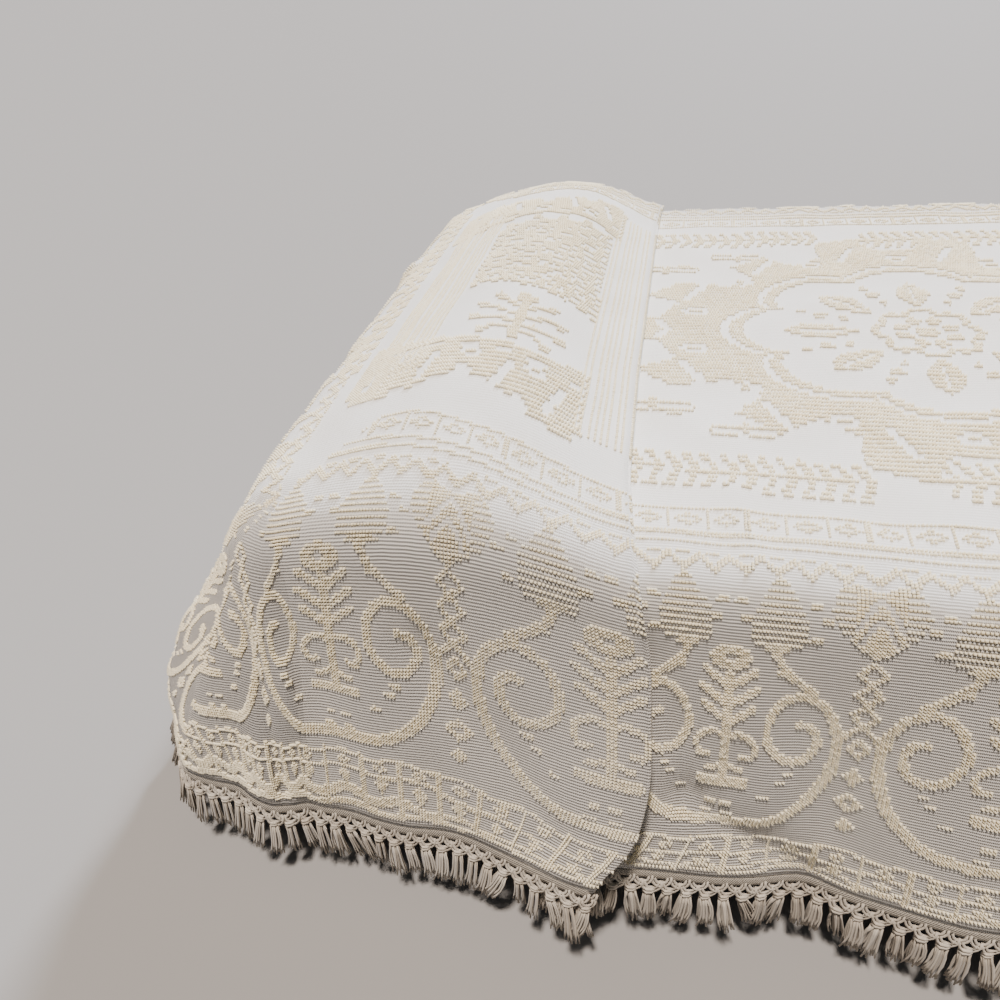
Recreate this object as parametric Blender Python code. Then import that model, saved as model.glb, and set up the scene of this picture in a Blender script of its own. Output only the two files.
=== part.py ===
"""A loop-pile bedspread with a knotted fringe, spread over a made double bed.

The cloth is drawn over two pillows at the head, folded back once in front of them, and falls
evenly down all four sides to its fringe. The bed under it is plain: a base, a mattress and
two pillows.

Frame: metres, +Z up. +X runs from the head of the bed to its foot and -Y is the near long side.
The origin is on the floor, under the centre of the whole piece.
"""

import math
from collections import namedtuple

import bmesh
import bpy
from mathutils import Matrix, Vector

# --- Driving sizes, in metres and degrees --------------------------------------------------------

BED_LENGTH = 1.90
BED_WIDTH = 1.37
BASE_HEIGHT = 0.31
BASE_INSET = 0.01
BASE_CORNER = 0.05
MATTRESS_DEPTH = 0.26
MATTRESS_CORNER = 0.08
MATTRESS_ROLL = 0.045
FIT_GAP = 0.0003
MATTRESS_TOP = BASE_HEIGHT + FIT_GAP + MATTRESS_DEPTH

CLOTH_THICKNESS = 0.004
CLOTH_LIFT = 0.008
EDGE_STANDOFF = 0.015
CORNER_RADIUS = 0.10
BEND_START = 0.055
BEND_END = 0.155
SIDE_REACH = 0.56
FRINGE_BAND = 0.042
TASSEL_LENGTH = 0.055
FRINGE_THICKNESS = 0.003
TOOTH_PACE = 0.034
HEM_GAP = 0.0006

INNER_X = BED_LENGTH / 2 + EDGE_STANDOFF - CORNER_RADIUS
INNER_Y = BED_WIDTH / 2 + EDGE_STANDOFF - CORNER_RADIUS

FOLD_X = -0.37
TUCK_DEPTH = 0.085
LAYER_PITCH = 0.0055
FOLD_KICK = 0.045

MOUND_HEIGHT = 0.135
PILLOW_LENGTH = 0.66
PILLOW_DEPTH = 0.42
PILLOW_GAP = 0.02
PILLOW_CENTRE_X = -0.725
PILLOW_CLEARANCE = 0.016

# --- Short tables that shape the drape -----------------------------------------------------------

# The mound over the pillows, along the bed: cloth distance from the bed's middle, share of height.
MoundRow = namedtuple("MoundRow", "run share")
MOUND_ALONG = (
    MoundRow(-1.42, 0.00),
    MoundRow(-1.20, 0.03),
    MoundRow(-1.04, 0.12),
    MoundRow(-0.92, 0.36),
    MoundRow(-0.80, 0.75),
    MoundRow(-0.68, 1.00),
    MoundRow(-0.57, 0.90),
    MoundRow(-0.48, 0.52),
    MoundRow(-0.41, 0.15),
    MoundRow(-0.37, 0.03),
    MoundRow(-0.34, 0.00),
)
# The same mound across the bed: cloth distance from the middle line, share of height.
MOUND_ACROSS = (
    MoundRow(0.00, 0.97),
    MoundRow(0.35, 1.00),
    MoundRow(0.55, 0.86),
    MoundRow(0.68, 0.60),
    MoundRow(0.82, 0.33),
    MoundRow(0.98, 0.10),
    MoundRow(1.16, 0.00),
)
# How far from plumb the skirt hangs, by the way it faces: 0 is the foot, 90 the far side.
FlareRow = namedtuple("FlareRow", "facing flare")
SKIRT_FLARE = (
    FlareRow(0, 13),
    FlareRow(45, 21),
    FlareRow(90, 14),
    FlareRow(135, 21),
    FlareRow(180, 15),
    FlareRow(225, 22),
    FlareRow(270, 18),
    FlareRow(315, 22),
    FlareRow(360, 13),
)
# Soft flutes in the long sides: place along the bed, swing out at the hem, half width.
FluteRow = namedtuple("FluteRow", "place swing width")
NEAR_FLUTES = (
    FluteRow(-0.72, 0.012, 0.10),
    FluteRow(-0.10, -0.018, 0.07),
    FluteRow(0.12, 0.012, 0.09),
    FluteRow(0.36, -0.010, 0.08),
    FluteRow(0.60, 0.014, 0.10),
)
FAR_FLUTES = (
    FluteRow(-0.60, -0.010, 0.09),
    FluteRow(-0.02, 0.014, 0.10),
    FluteRow(0.34, -0.012, 0.08),
    FluteRow(0.66, 0.010, 0.09),
)
END_FLUTES = (
    FluteRow(-0.30, 0.010, 0.09),
    FluteRow(0.08, -0.010, 0.08),
    FluteRow(0.40, 0.012, 0.09),
)
CORNER_FLUTES = 3
CORNER_FLUTE_SWING = 0.009
# How the fold's edge wanders along the bed: cloth distance across, shift towards the foot.
WanderRow = namedtuple("WanderRow", "across shift")
FOLD_WANDER = (
    WanderRow(-1.155, -0.030),
    WanderRow(-1.08, 0.028),
    WanderRow(-0.98, 0.046),
    WanderRow(-0.80, 0.034),
    WanderRow(-0.66, 0.004),
    WanderRow(-0.50, -0.018),
    WanderRow(-0.20, -0.030),
    WanderRow(0.55, -0.042),
    WanderRow(0.95, -0.030),
    WanderRow(1.155, -0.045),
)
# The head corner stands out in a soft bulge: cloth distance outward, swing.
BulgeRow = namedtuple("BulgeRow", "reach swing")
HEAD_CORNER_BULGE = (
    BulgeRow(0.10, 0.0),
    BulgeRow(0.22, 0.034),
    BulgeRow(0.34, 0.095),
    BulgeRow(0.46, 0.122),
    BulgeRow(0.56, 0.112),
)
BULGE_FACING = 196
BULGE_SPREAD = 38

# Cloth distances outward from the inner rectangle at which the mesh has its rows.
REACH_ROWS = (0.035, 0.065, 0.09, 0.115, 0.145, 0.20, 0.29, 0.38, 0.47, SIDE_REACH)
ACROSS_ROWS = (0.0, 0.15, 0.30, 0.42, 0.52)
HEAD_RUNS = (-0.80, -0.74, -0.68, -0.62, -0.57, -0.52)
FOOT_RUNS = (-0.25, -0.10, 0.05, 0.20, 0.36, 0.52, 0.68)
TURN_TILTS = (30, 90, 150)

# One row of the cloth along the bed: distance along the bed, lift off the bed's own surface,
# tilt of its face (0 up, 180 down), share of the mound, and its outward kick
# near the hem, and its share of the fold's wander.
Run = namedtuple("Run", "along lift tilt mound kick wander")


def table_value(place, rows):
    """Read a two-column table at a place, with smooth steps between its rows."""
    if place <= rows[0][0]:
        return rows[0][1]
    for (start, low), (end, high) in zip(rows, rows[1:]):
        if place <= end:
            share = (place - start) / (end - start)
            return low + (high - low) * share
    return rows[-1][1]


def smooth_value(place, rows, window):
    """The table's value averaged over a short window, so its corners are rounded."""
    steps = 5
    offsets = [window * (step / (steps - 1) - 0.5) for step in range(steps)]
    return sum(table_value(place + offset, rows) for offset in offsets) / steps


def smooth_step(share):
    """0 below 0, 1 above 1, and a soft slope between."""
    share = min(max(share, 0.0), 1.0)
    return share * share * (3 - 2 * share)


def skirt_profile(reach, flare):
    """Outward run and drop of the cloth at a cloth distance from the inner rectangle."""
    hang = math.radians(90 - flare)
    steps = 24
    if reach <= BEND_START:
        return reach, 0.0
    bend = min(reach, BEND_END) - BEND_START
    out, drop = BEND_START, 0.0
    for step in range(steps):
        middle = (step + 0.5) / steps * bend
        slope = hang * smooth_step(middle / (BEND_END - BEND_START))
        out += math.cos(slope) * bend / steps
        drop += math.sin(slope) * bend / steps
    straight = max(reach - BEND_END, 0.0)
    return out + math.cos(hang) * straight, drop + math.sin(hang) * straight


def flute_swing(place, rows):
    """Sum of the soft flutes at a place along a side."""
    return sum(row.swing * math.exp(-((place - row.place) / row.width) ** 2) for row in rows)


def drape_point(along, across, mound, kick=0.0, wander=0.0):
    """A point of the cloth's middle surface, for its flat place on the bed."""
    over_x = max(abs(along) - INNER_X, 0.0)
    over_y = max(abs(across) - INNER_Y, 0.0)
    reach = max(over_x, over_y)
    side_x = math.copysign(1, along)
    side_y = math.copysign(1, across)
    if over_x >= over_y:
        angle = math.pi / 4 * over_y / over_x if over_x > 0 else 0.0
    else:
        angle = math.pi / 2 - math.pi / 4 * over_x / over_y
    aim_x = side_x * math.cos(angle)
    aim_y = side_y * math.sin(angle)
    facing = math.degrees(math.atan2(aim_y, aim_x)) % 360
    out, drop = skirt_profile(reach, smooth_value(facing, SKIRT_FLARE, 40))
    fall = smooth_step((reach - BEND_START) / (SIDE_REACH - BEND_START))
    if over_x > 0 and over_y > 0:
        out += CORNER_FLUTE_SWING * fall * -math.cos(4 * CORNER_FLUTES * angle)
        out += CORNER_FLUTE_SWING * fall
    base_x = min(max(along, -INNER_X), INNER_X)
    base_y = min(max(across, -INNER_Y), INNER_Y)
    along_side = smooth_step((INNER_X - abs(along)) / 0.12)
    across_side = smooth_step((INNER_Y - abs(across)) / 0.12)
    near = NEAR_FLUTES if across < 0 else FAR_FLUTES
    out += fall * along_side * flute_swing(base_x, near)
    out += fall * across_side * flute_swing(base_y, END_FLUTES)
    side_fall = smooth_step((over_y - BEND_END) / (SIDE_REACH - BEND_END)) ** 0.8
    out += kick * side_fall
    turn = (facing - BULGE_FACING) / BULGE_SPREAD
    out += smooth_value(reach, HEAD_CORNER_BULGE, 0.05) * math.exp(-turn * turn)
    rise = MOUND_HEIGHT * mound
    rise *= smooth_value(along, MOUND_ALONG, 0.08) * smooth_value(abs(across), MOUND_ACROSS, 0.10)
    return Vector((
        base_x + out * aim_x + wander * smooth_value(across, FOLD_WANDER, 0.06),
        base_y + out * aim_y,
        MATTRESS_TOP + CLOTH_LIFT - drop + rise,
    ))


def cloth_frame(run, across):
    """Point, along direction and outward direction of the middle surface at a run."""
    step = 0.002
    point = drape_point(run.along, across, run.mound, run.kick, run.wander)
    ahead = drape_point(run.along + step, across, run.mound, run.kick, run.wander)
    behind = drape_point(run.along - step, across, run.mound, run.kick, run.wander)
    left = drape_point(run.along, across + step, run.mound, run.kick, run.wander)
    right = drape_point(run.along, across - step, run.mound, run.kick, run.wander)
    forward = (ahead - behind).normalized()
    outward = forward.cross(left - right).normalized()
    return point, forward, outward


def sheet_point(run, across, offset):
    """A point at an offset from the middle surface towards the cloth's face."""
    point, forward, outward = cloth_frame(run, across)
    tilt = math.radians(run.tilt)
    return point + outward * (run.lift + offset * math.cos(tilt)) + forward * offset * math.sin(tilt)


def plain_run(along, on_pillows):
    """A run away from the fold, or in the single layer beside it."""
    if on_pillows:
        near_fold = smooth_step(1 - (FOLD_X - along) / 0.30)
        return Run(along, 2 * LAYER_PITCH * near_fold, 0, 1, FOLD_KICK * near_fold, near_fold)
    near_fold = smooth_step(1 - (along - FOLD_X + TUCK_DEPTH) / 0.34)
    return Run(along, 0, 0, 0, 0.4 * FOLD_KICK * near_fold, near_fold)


def fold_runs():
    """The cloth's back-and-forth at the fold, from the pillow side to the foot side."""
    turn = LAYER_PITCH / 2
    inner = FOLD_X - TUCK_DEPTH
    runs = [plain_run(inner, True), plain_run(FOLD_X - 0.05, True), plain_run(FOLD_X - 0.02, True)]
    for tilt in (0, *TURN_TILTS, 180):
        angle = math.radians(tilt)
        runs.append(Run(FOLD_X - turn + turn * math.sin(angle), 1.5 * LAYER_PITCH
                        + turn * math.cos(angle), tilt, 0, FOLD_KICK, 1))
    for share in (0.25, 0.6):
        runs.append(Run(FOLD_X - share * TUCK_DEPTH, LAYER_PITCH, 180, 0,
                        FOLD_KICK * (1 - 0.5 * share), 1))
    for tilt in (180, *reversed(TURN_TILTS), 0):
        angle = math.radians(tilt)
        runs.append(Run(inner + turn - turn * math.sin(angle), 0.5 * LAYER_PITCH
                        - turn * math.cos(angle), tilt, 0, 0.45 * FOLD_KICK, 1))
    runs.append(plain_run(FOLD_X - 0.04, False))
    runs.append(plain_run(FOLD_X + 0.02, False))
    return runs


def cloth_runs():
    """All runs of the cloth, from the head hem to the foot hem."""
    runs = [plain_run(-INNER_X - reach, True) for reach in reversed(REACH_ROWS)]
    runs += [plain_run(along, True) for along in (-INNER_X, *HEAD_RUNS)]
    runs += fold_runs()
    runs += [plain_run(along, False) for along in (*FOOT_RUNS, INNER_X)]
    runs += [plain_run(INNER_X + reach, False) for reach in REACH_ROWS]
    return runs


def across_places():
    """Places of the cloth's rows from the near hem to the far hem."""
    half = [*ACROSS_ROWS, INNER_Y, *(INNER_Y + reach for reach in REACH_ROWS)]
    return [-place for place in reversed(half[1:])] + half


def fabric_material(name, colour, roughness):
    """A plain Principled material."""
    material = bpy.data.materials.new(name)
    material.use_nodes = True
    shader = material.node_tree.nodes["Principled BSDF"]
    shader.inputs["Base Color"].default_value = (*colour, 1)
    shader.inputs["Roughness"].default_value = roughness
    shader.inputs["Metallic"].default_value = 0
    material.diffuse_color = (*colour, 1)
    return material


def add_object(name, shape, material, smooth=True):
    """Link a bmesh as one named object."""
    bmesh.ops.recalc_face_normals(shape, faces=shape.faces)
    mesh = bpy.data.meshes.new(name)
    shape.to_mesh(mesh)
    shape.free()
    mesh.materials.append(material)
    if smooth:
        mesh.shade_smooth()
        mesh.set_sharp_from_angle(angle=math.radians(50))
    obj = bpy.data.objects.new(name, mesh)
    bpy.context.collection.objects.link(obj)
    return obj


def make_cloth(material):
    """The spread itself: one sheet with its face and back a cloth's thickness apart."""
    runs = cloth_runs()
    places = across_places()
    shape = bmesh.new()
    layers = []
    for offset in (CLOTH_THICKNESS / 2, -CLOTH_THICKNESS / 2):
        layers.append([[shape.verts.new(sheet_point(run, place, offset)) for place in places]
                       for run in runs])
    face, back = layers
    last_run = len(runs) - 1
    last_place = len(places) - 1
    for i in range(last_run):
        for j in range(last_place):
            shape.faces.new((face[i][j], face[i + 1][j], face[i + 1][j + 1], face[i][j + 1]))
            shape.faces.new((back[i][j], back[i][j + 1], back[i + 1][j + 1], back[i + 1][j]))
    for i in range(last_run):
        for j in (0, last_place):
            shape.faces.new((face[i][j], face[i + 1][j], back[i + 1][j], back[i][j]))
    for j in range(last_place):
        for i in (0, last_run):
            shape.faces.new((face[i][j], face[i][j + 1], back[i][j + 1], back[i][j]))
    return add_object("bedspread_cloth", shape, material)


def hem_loop():
    """Runs and places once round the hem, as the cloth's own mesh has them."""
    runs = cloth_runs()
    places = across_places()
    loop = [(run, places[0]) for run in runs[:-1]]
    loop += [(runs[-1], place) for place in places[:-1]]
    loop += [(run, places[-1]) for run in reversed(runs[1:])]
    loop += [(runs[0], place) for place in reversed(places[1:])]
    return loop


def stretched(run, across, reach):
    """The same way round the hem, at another cloth distance from the inner rectangle."""
    scale = reach / SIDE_REACH
    over_x = max(abs(run.along) - INNER_X, 0.0)
    over_y = max(abs(across) - INNER_Y, 0.0)
    if over_x > 0:
        run = run._replace(along=math.copysign(INNER_X + over_x * scale, run.along))
    if over_y > 0:
        across = math.copysign(INNER_Y + over_y * scale, across)
    return run, across


def comb_ring(loop, reach, offset, cuts):
    """Points round the hem at one level, each straight stretch cut for the comb's teeth."""
    corners = [sheet_point(*stretched(run, across, reach), offset) for run, across in loop]
    ring = []
    for index, start in enumerate(corners):
        end = corners[(index + 1) % len(corners)]
        ring += [start.lerp(end, cut / cuts[index]) for cut in range(cuts[index])]
    return ring


def make_fringe(material):
    """The fringe: a heading and net strip round the hem, with teeth for its tassels."""
    loop = hem_loop()
    hem = [sheet_point(run, across, 0) for run, across in loop]
    cuts = [max(1, round((end - start).length / TOOTH_PACE))
            for start, end in zip(hem, hem[1:] + hem[:1])]
    top = SIDE_REACH + HEM_GAP
    shape = bmesh.new()
    rings = []
    for level in (top, top + FRINGE_BAND, top + FRINGE_BAND + TASSEL_LENGTH):
        for offset in (FRINGE_THICKNESS / 2, -FRINGE_THICKNESS / 2):
            rings.append([shape.verts.new(point)
                          for point in comb_ring(loop, level, offset, cuts)])
    face_top, back_top, face_mid, back_mid, face_end, back_end = rings
    count = len(face_top)
    for i in range(count):
        k = (i + 1) % count
        shape.faces.new((face_top[i], face_top[k], face_mid[k], face_mid[i]))
        shape.faces.new((back_top[i], back_mid[i], back_mid[k], back_top[k]))
        shape.faces.new((face_top[i], back_top[i], back_top[k], face_top[k]))
        if i % 2 or i == count - 1:
            shape.faces.new((face_mid[i], face_mid[k], back_mid[k], back_mid[i]))
            continue
        shape.faces.new((face_mid[i], face_mid[k], face_end[k], face_end[i]))
        shape.faces.new((back_mid[i], back_end[i], back_end[k], back_mid[k]))
        shape.faces.new((face_end[i], face_end[k], back_end[k], back_end[i]))
        shape.faces.new((face_mid[i], face_end[i], back_end[i], back_mid[i]))
        shape.faces.new((face_mid[k], back_mid[k], back_end[k], face_end[k]))
    return add_object("knotted_fringe", shape, material)


def make_block(name, size, low_z, corner, roll, material):
    """A block standing at low_z, its upright edges rounded and its rims rolled."""
    shape = bmesh.new()
    bmesh.ops.create_cube(shape, size=1)
    for vert in shape.verts:
        vert.co = Vector((vert.co.x * size[0], vert.co.y * size[1],
                          low_z + (vert.co.z + 0.5) * size[2]))
    upright = [edge for edge in shape.edges
               if abs(edge.verts[0].co.z - edge.verts[1].co.z) > size[2] / 2]
    bmesh.ops.bevel(shape, geom=upright, offset=corner, segments=4, profile=0.5, affect="EDGES")
    rims = [edge for edge in shape.edges if abs(edge.verts[0].co.z - edge.verts[1].co.z) < 1e-6]
    if roll > 0:
        bmesh.ops.bevel(shape, geom=rims, offset=roll, segments=3, profile=0.5, affect="EDGES")
    return add_object(name, shape, material)


def pillow_height(x, y, half_x, half_y, centre_y):
    """Height of a pillow's crown at a place on it, under the mound of the cloth."""
    across = (x - PILLOW_CENTRE_X) / half_x
    lengthways = (y - centre_y) / half_y
    crown = max(1 - across ** 4, 0.0) ** 0.5 * max(1 - lengthways ** 6, 0.0) ** 0.5
    mound = MOUND_HEIGHT * smooth_value(x, MOUND_ALONG, 0.08)
    mound *= smooth_value(abs(y), MOUND_ACROSS, 0.10)
    return max((mound - PILLOW_CLEARANCE) * crown, 0.004)


def make_pillow(name, side, material):
    """A pillow lying flat on the mattress, crowned under the cloth."""
    half_x = PILLOW_DEPTH / 2
    half_y = PILLOW_LENGTH / 2
    centre_y = side * (PILLOW_GAP / 2 + half_y)
    floor = MATTRESS_TOP + FIT_GAP
    cuts = (-1, -0.94, -0.8, -0.5, 0, 0.5, 0.8, 0.94, 1)
    shape = bmesh.new()
    tops = []
    for cut_x in cuts:
        x = PILLOW_CENTRE_X + half_x * cut_x
        tops.append([shape.verts.new((x, centre_y + half_y * cut_y, floor + pillow_height(
            x, centre_y + half_y * cut_y, half_x, half_y, centre_y))) for cut_y in cuts])
    last = len(cuts) - 1
    for i in range(last):
        for j in range(last):
            shape.faces.new((tops[i][j], tops[i + 1][j], tops[i + 1][j + 1], tops[i][j + 1]))
    rim = [edge for edge in shape.edges if edge.is_boundary]
    lower = bmesh.ops.extrude_edge_only(shape, edges=rim)["geom"]
    base = [item for item in lower if isinstance(item, bmesh.types.BMVert)]
    for vert in base:
        vert.co.z = floor
    bmesh.ops.contextual_create(shape, geom=[edge for edge in shape.edges if edge.is_boundary])
    bmesh.ops.triangulate(shape, faces=[face for face in shape.faces if len(face.verts) > 4])
    return add_object(name, shape, material)


def clear_scene():
    """Remove whatever the scene starts with."""
    for obj in list(bpy.data.objects):
        bpy.data.objects.remove(obj, do_unlink=True)


def centre_on_origin(objects):
    """Shift every mesh so that the whole piece is centred over the origin."""
    points = [vertex.co for obj in objects for vertex in obj.data.vertices]
    middle_x = (min(point.x for point in points) + max(point.x for point in points)) / 2
    middle_y = (min(point.y for point in points) + max(point.y for point in points)) / 2
    for obj in objects:
        obj.data.transform(Matrix.Translation((-middle_x, -middle_y, 0)))


def main():
    clear_scene()
    cotton = fabric_material("cream loop-pile cotton", (0.76, 0.72, 0.62), 0.9)
    trim = fabric_material("cream cotton fringe yarn", (0.70, 0.65, 0.56), 0.9)
    ticking = fabric_material("white mattress ticking", (0.80, 0.80, 0.78), 0.85)
    upholstery = fabric_material("grey base cloth", (0.45, 0.45, 0.46), 0.9)
    pillowcase = fabric_material("white pillowcase cotton", (0.85, 0.85, 0.84), 0.85)
    base_size = (BED_LENGTH - 2 * BASE_INSET, BED_WIDTH - 2 * BASE_INSET, BASE_HEIGHT)
    mattress_size = (BED_LENGTH, BED_WIDTH, MATTRESS_DEPTH)
    centre_on_origin([
        make_cloth(cotton),
        make_fringe(trim),
        make_block("bed_base", base_size, 0.0, BASE_CORNER, 0.0, upholstery),
        make_block("mattress", mattress_size, BASE_HEIGHT + FIT_GAP, MATTRESS_CORNER,
                   MATTRESS_ROLL, ticking),
        make_pillow("pillow_near", -1, pillowcase),
        make_pillow("pillow_far", 1, pillowcase),
    ])


main()
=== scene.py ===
"""Looks of the loop-pile bedspread: its woven ground, figured loops, knotted fringe and plain bed.

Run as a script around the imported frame. It is laid out as an add-on: sizes and colours are
properties, each group of pieces is an operator, and one panel in the sidebar lists them.

Frame: metres, +Z up, +X from the head of the bed to its foot, -Y the near long side.
"""

import math
from collections import namedtuple

import bpy
import numpy as np
from bpy.props import FloatProperty, FloatVectorProperty, PointerProperty
from mathutils import Matrix, Vector


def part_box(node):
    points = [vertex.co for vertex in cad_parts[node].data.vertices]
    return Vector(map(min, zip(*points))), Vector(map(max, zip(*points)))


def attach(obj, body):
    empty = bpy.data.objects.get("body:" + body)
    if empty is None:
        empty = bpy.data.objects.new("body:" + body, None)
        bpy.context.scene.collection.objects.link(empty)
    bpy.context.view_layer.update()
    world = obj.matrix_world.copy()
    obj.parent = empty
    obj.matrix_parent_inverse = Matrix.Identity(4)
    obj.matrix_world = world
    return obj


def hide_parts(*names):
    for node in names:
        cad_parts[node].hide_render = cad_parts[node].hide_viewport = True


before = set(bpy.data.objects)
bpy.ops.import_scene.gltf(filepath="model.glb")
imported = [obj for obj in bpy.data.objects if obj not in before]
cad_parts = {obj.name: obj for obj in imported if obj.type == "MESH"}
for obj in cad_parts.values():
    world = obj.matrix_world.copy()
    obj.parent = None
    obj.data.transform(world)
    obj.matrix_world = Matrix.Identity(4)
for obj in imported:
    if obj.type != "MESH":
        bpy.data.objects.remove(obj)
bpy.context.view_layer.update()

bl_info = {
    "name": "Loop-pile bedspread",
    "version": (1, 0, 0),
    "blender": (4, 5, 0),
    "location": "View3D > Sidebar > Bedspread",
    "description": "Weaves a loop-pile bedspread with a knotted fringe over a made bed",
    "category": "Object",
}

# --- The frame's own sizes ------------------------------------------------------------------------

BED_LOW, BED_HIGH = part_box("mattress")
BED_MIDDLE = (BED_LOW + BED_HIGH) / 2
BED_LENGTH = BED_HIGH.x - BED_LOW.x
BED_WIDTH = BED_HIGH.y - BED_LOW.y
MATTRESS_TOP = BED_HIGH.z

# --- The drape, in metres and degrees: the same rules that the cloth's solid follows --------------

CLOTH_LIFT = 0.008
EDGE_STANDOFF = 0.015
CORNER_RADIUS = 0.10
BEND_START = 0.055
BEND_END = 0.155
SIDE_REACH = 0.56
INNER_X = BED_LENGTH / 2 + EDGE_STANDOFF - CORNER_RADIUS
INNER_Y = BED_WIDTH / 2 + EDGE_STANDOFF - CORNER_RADIUS
END_X = INNER_X + SIDE_REACH
END_Y = INNER_Y + SIDE_REACH
FOLD_X = -0.37
TUCK_DEPTH = 0.085
LAYER_PITCH = 0.0055
FOLD_KICK = 0.045
MOUND_HEIGHT = 0.135
BEND_STEPS = 24
# Distances over which the tables below are rounded off, and degrees for the skirt's facing.
FACING_WINDOW = 40
MOUND_ALONG_WINDOW = 0.08
MOUND_ACROSS_WINDOW = 0.10
WANDER_WINDOW = 0.06
BULGE_WINDOW = 0.05
# Distance over which a side's flutes die out towards its corners.
FLUTE_EASE = 0.12
# How the fold's outward kick grows down the skirt, and its share beside and inside the fold.
KICK_POWER = 0.8
BESIDE_KICK = 0.4
INSIDE_KICK = 0.45
# Distance over which the fold's extra layers lie down, towards the head and towards the foot.
HEAD_EASE = 0.30
FOOT_EASE = 0.34
# A faint unevenness all over the cloth, which stops short of its ends.
UNEVEN_HEIGHT = 0.0008
END_EASE = 0.05

# The mound over the pillows: cloth distance along the bed, share of its height.
MOUND_ALONG = (
    (-1.42, 0.00), (-1.20, 0.03), (-1.04, 0.12), (-0.92, 0.36), (-0.80, 0.75), (-0.68, 1.00),
    (-0.57, 0.90), (-0.48, 0.52), (-0.41, 0.15), (-0.37, 0.03), (-0.34, 0.00),
)
# The same mound across the bed: cloth distance from the middle line, share of its height.
MOUND_ACROSS = (
    (0.00, 0.97), (0.35, 1.00), (0.55, 0.86), (0.68, 0.60), (0.82, 0.33), (0.98, 0.10),
    (1.16, 0.00),
)
# How far from plumb the skirt hangs, by the way it faces: 0 is the foot, 90 the far side.
SKIRT_FLARE = (
    (0, 13), (45, 21), (90, 14), (135, 21), (180, 15), (225, 22), (270, 18), (315, 22), (360, 13),
)
# Soft flutes: place along the side, swing out at the hem, half width.
NEAR_FLUTES = (
    (-0.72, 0.012, 0.10), (-0.10, -0.018, 0.07), (0.12, 0.012, 0.09), (0.36, -0.010, 0.08),
    (0.60, 0.014, 0.10),
)
FAR_FLUTES = (
    (-0.60, -0.010, 0.09), (-0.02, 0.014, 0.10), (0.34, -0.012, 0.08), (0.66, 0.010, 0.09),
)
END_FLUTES = ((-0.30, 0.010, 0.09), (0.08, -0.010, 0.08), (0.40, 0.012, 0.09))
CORNER_FLUTES = 3
CORNER_FLUTE_SWING = 0.009
# How the fold's edge wanders along the bed: cloth distance across, shift towards the foot.
FOLD_WANDER = (
    (-1.155, -0.030), (-1.08, 0.028), (-0.98, 0.046), (-0.80, 0.034), (-0.66, 0.004),
    (-0.50, -0.018), (-0.20, -0.030), (0.55, -0.042), (0.95, -0.030), (1.155, -0.045),
)
# The head corner's soft bulge: cloth distance outward, swing.
HEAD_CORNER_BULGE = ((0.10, 0.0), (0.22, 0.034), (0.34, 0.095), (0.46, 0.122), (0.56, 0.112))
BULGE_FACING = 196
BULGE_SPREAD = 38

# --- The main creases -----------------------------------------------------------------------------

# Soft troughs (below 0) and ridges: start and end on the flat cloth, depth and half width.
Crease = namedtuple("Crease", "along across end_along end_across depth width")
CREASES = (
    Crease(-0.36, -0.80, -0.30, -1.02, -0.010, 0.030),
    Crease(-0.30, -1.02, -0.10, -1.14, -0.012, 0.032),
    Crease(-0.22, -0.88, -0.10, -1.10, 0.006, 0.040),
    Crease(-0.66, -0.86, -0.48, -1.10, -0.009, 0.035),
    Crease(-0.90, -0.92, -0.84, -1.12, 0.009, 0.035),
    Crease(-1.02, -0.86, -0.99, -1.12, -0.010, 0.030),
    Crease(-0.98, -0.62, -0.84, -0.92, -0.006, 0.040),
    Crease(-0.24, -0.50, -0.21, -0.66, 0.004, 0.022),
    Crease(-0.10, -0.40, 0.02, -0.66, -0.003, 0.050),
    Crease(-0.62, -0.50, -0.40, -0.66, -0.004, 0.045),
    Crease(0.18, -0.70, 0.26, -1.08, -0.010, 0.035),
    Crease(0.48, -0.74, 0.44, -1.10, 0.009, 0.040),
    Crease(0.70, -0.70, 0.80, -1.06, -0.010, 0.032),
    Crease(-0.10, 0.10, 0.50, 0.22, 0.003, 0.045),
    Crease(0.10, -0.20, 0.62, -0.28, -0.003, 0.050),
    Crease(-0.40, 0.74, -0.32, 1.06, -0.010, 0.034),
    Crease(0.05, 0.76, 0.10, 1.08, 0.008, 0.040),
    Crease(0.42, 0.72, 0.36, 1.10, -0.010, 0.036),
    Crease(-0.80, 0.80, -0.76, 1.10, 0.009, 0.036),
    Crease(0.96, -0.34, 1.30, -0.38, 0.009, 0.040),
    Crease(0.96, 0.12, 1.32, 0.06, -0.010, 0.036),
    Crease(0.98, 0.44, 1.28, 0.50, 0.008, 0.034),
    Crease(-1.00, -0.20, -1.34, -0.26, -0.010, 0.036),
    Crease(-0.98, 0.24, -1.34, 0.20, 0.009, 0.040),
)

# --- The weave ------------------------------------------------------------------------------------

LOOP_PITCH = 0.0048
# Ribs lie closer on the hanging sides than on the stretched top: place across the bed, pitch.
RIB_PITCHES = ((0.0, 0.0055), (0.58, 0.0055), (0.70, 0.0044), (1.16, 0.0044))
# Above this distance from the hem only every second rib carries loops.
OPEN_FROM = 0.62
# How far from the foot hem the field of the long part ends.
FIELD_END = 0.77
# Half the height of a line that runs along the ribs, as a share of the space between two rows.
LINE_SHARE = 0.60
GROUND_THICKNESS = 0.0018
GROUND_STEP_ALONG = 0.0145
GROUND_STEP_ACROSS = 0.0175
TURN_TILTS = (20, 45, 70, 90, 110, 135, 160)
SLOPE_STEP = 0.0006
DRAPE_STEP = 0.002
MM = 1000.0
# A piece of pile holds about this many loops, so that no piece grows too heavy.
LOOPS_A_PIECE = 32000
LOOP_TWIST = 0.22
LOOP_UNEVENNESS = 0.16
LOOP_SEED = 11
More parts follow.
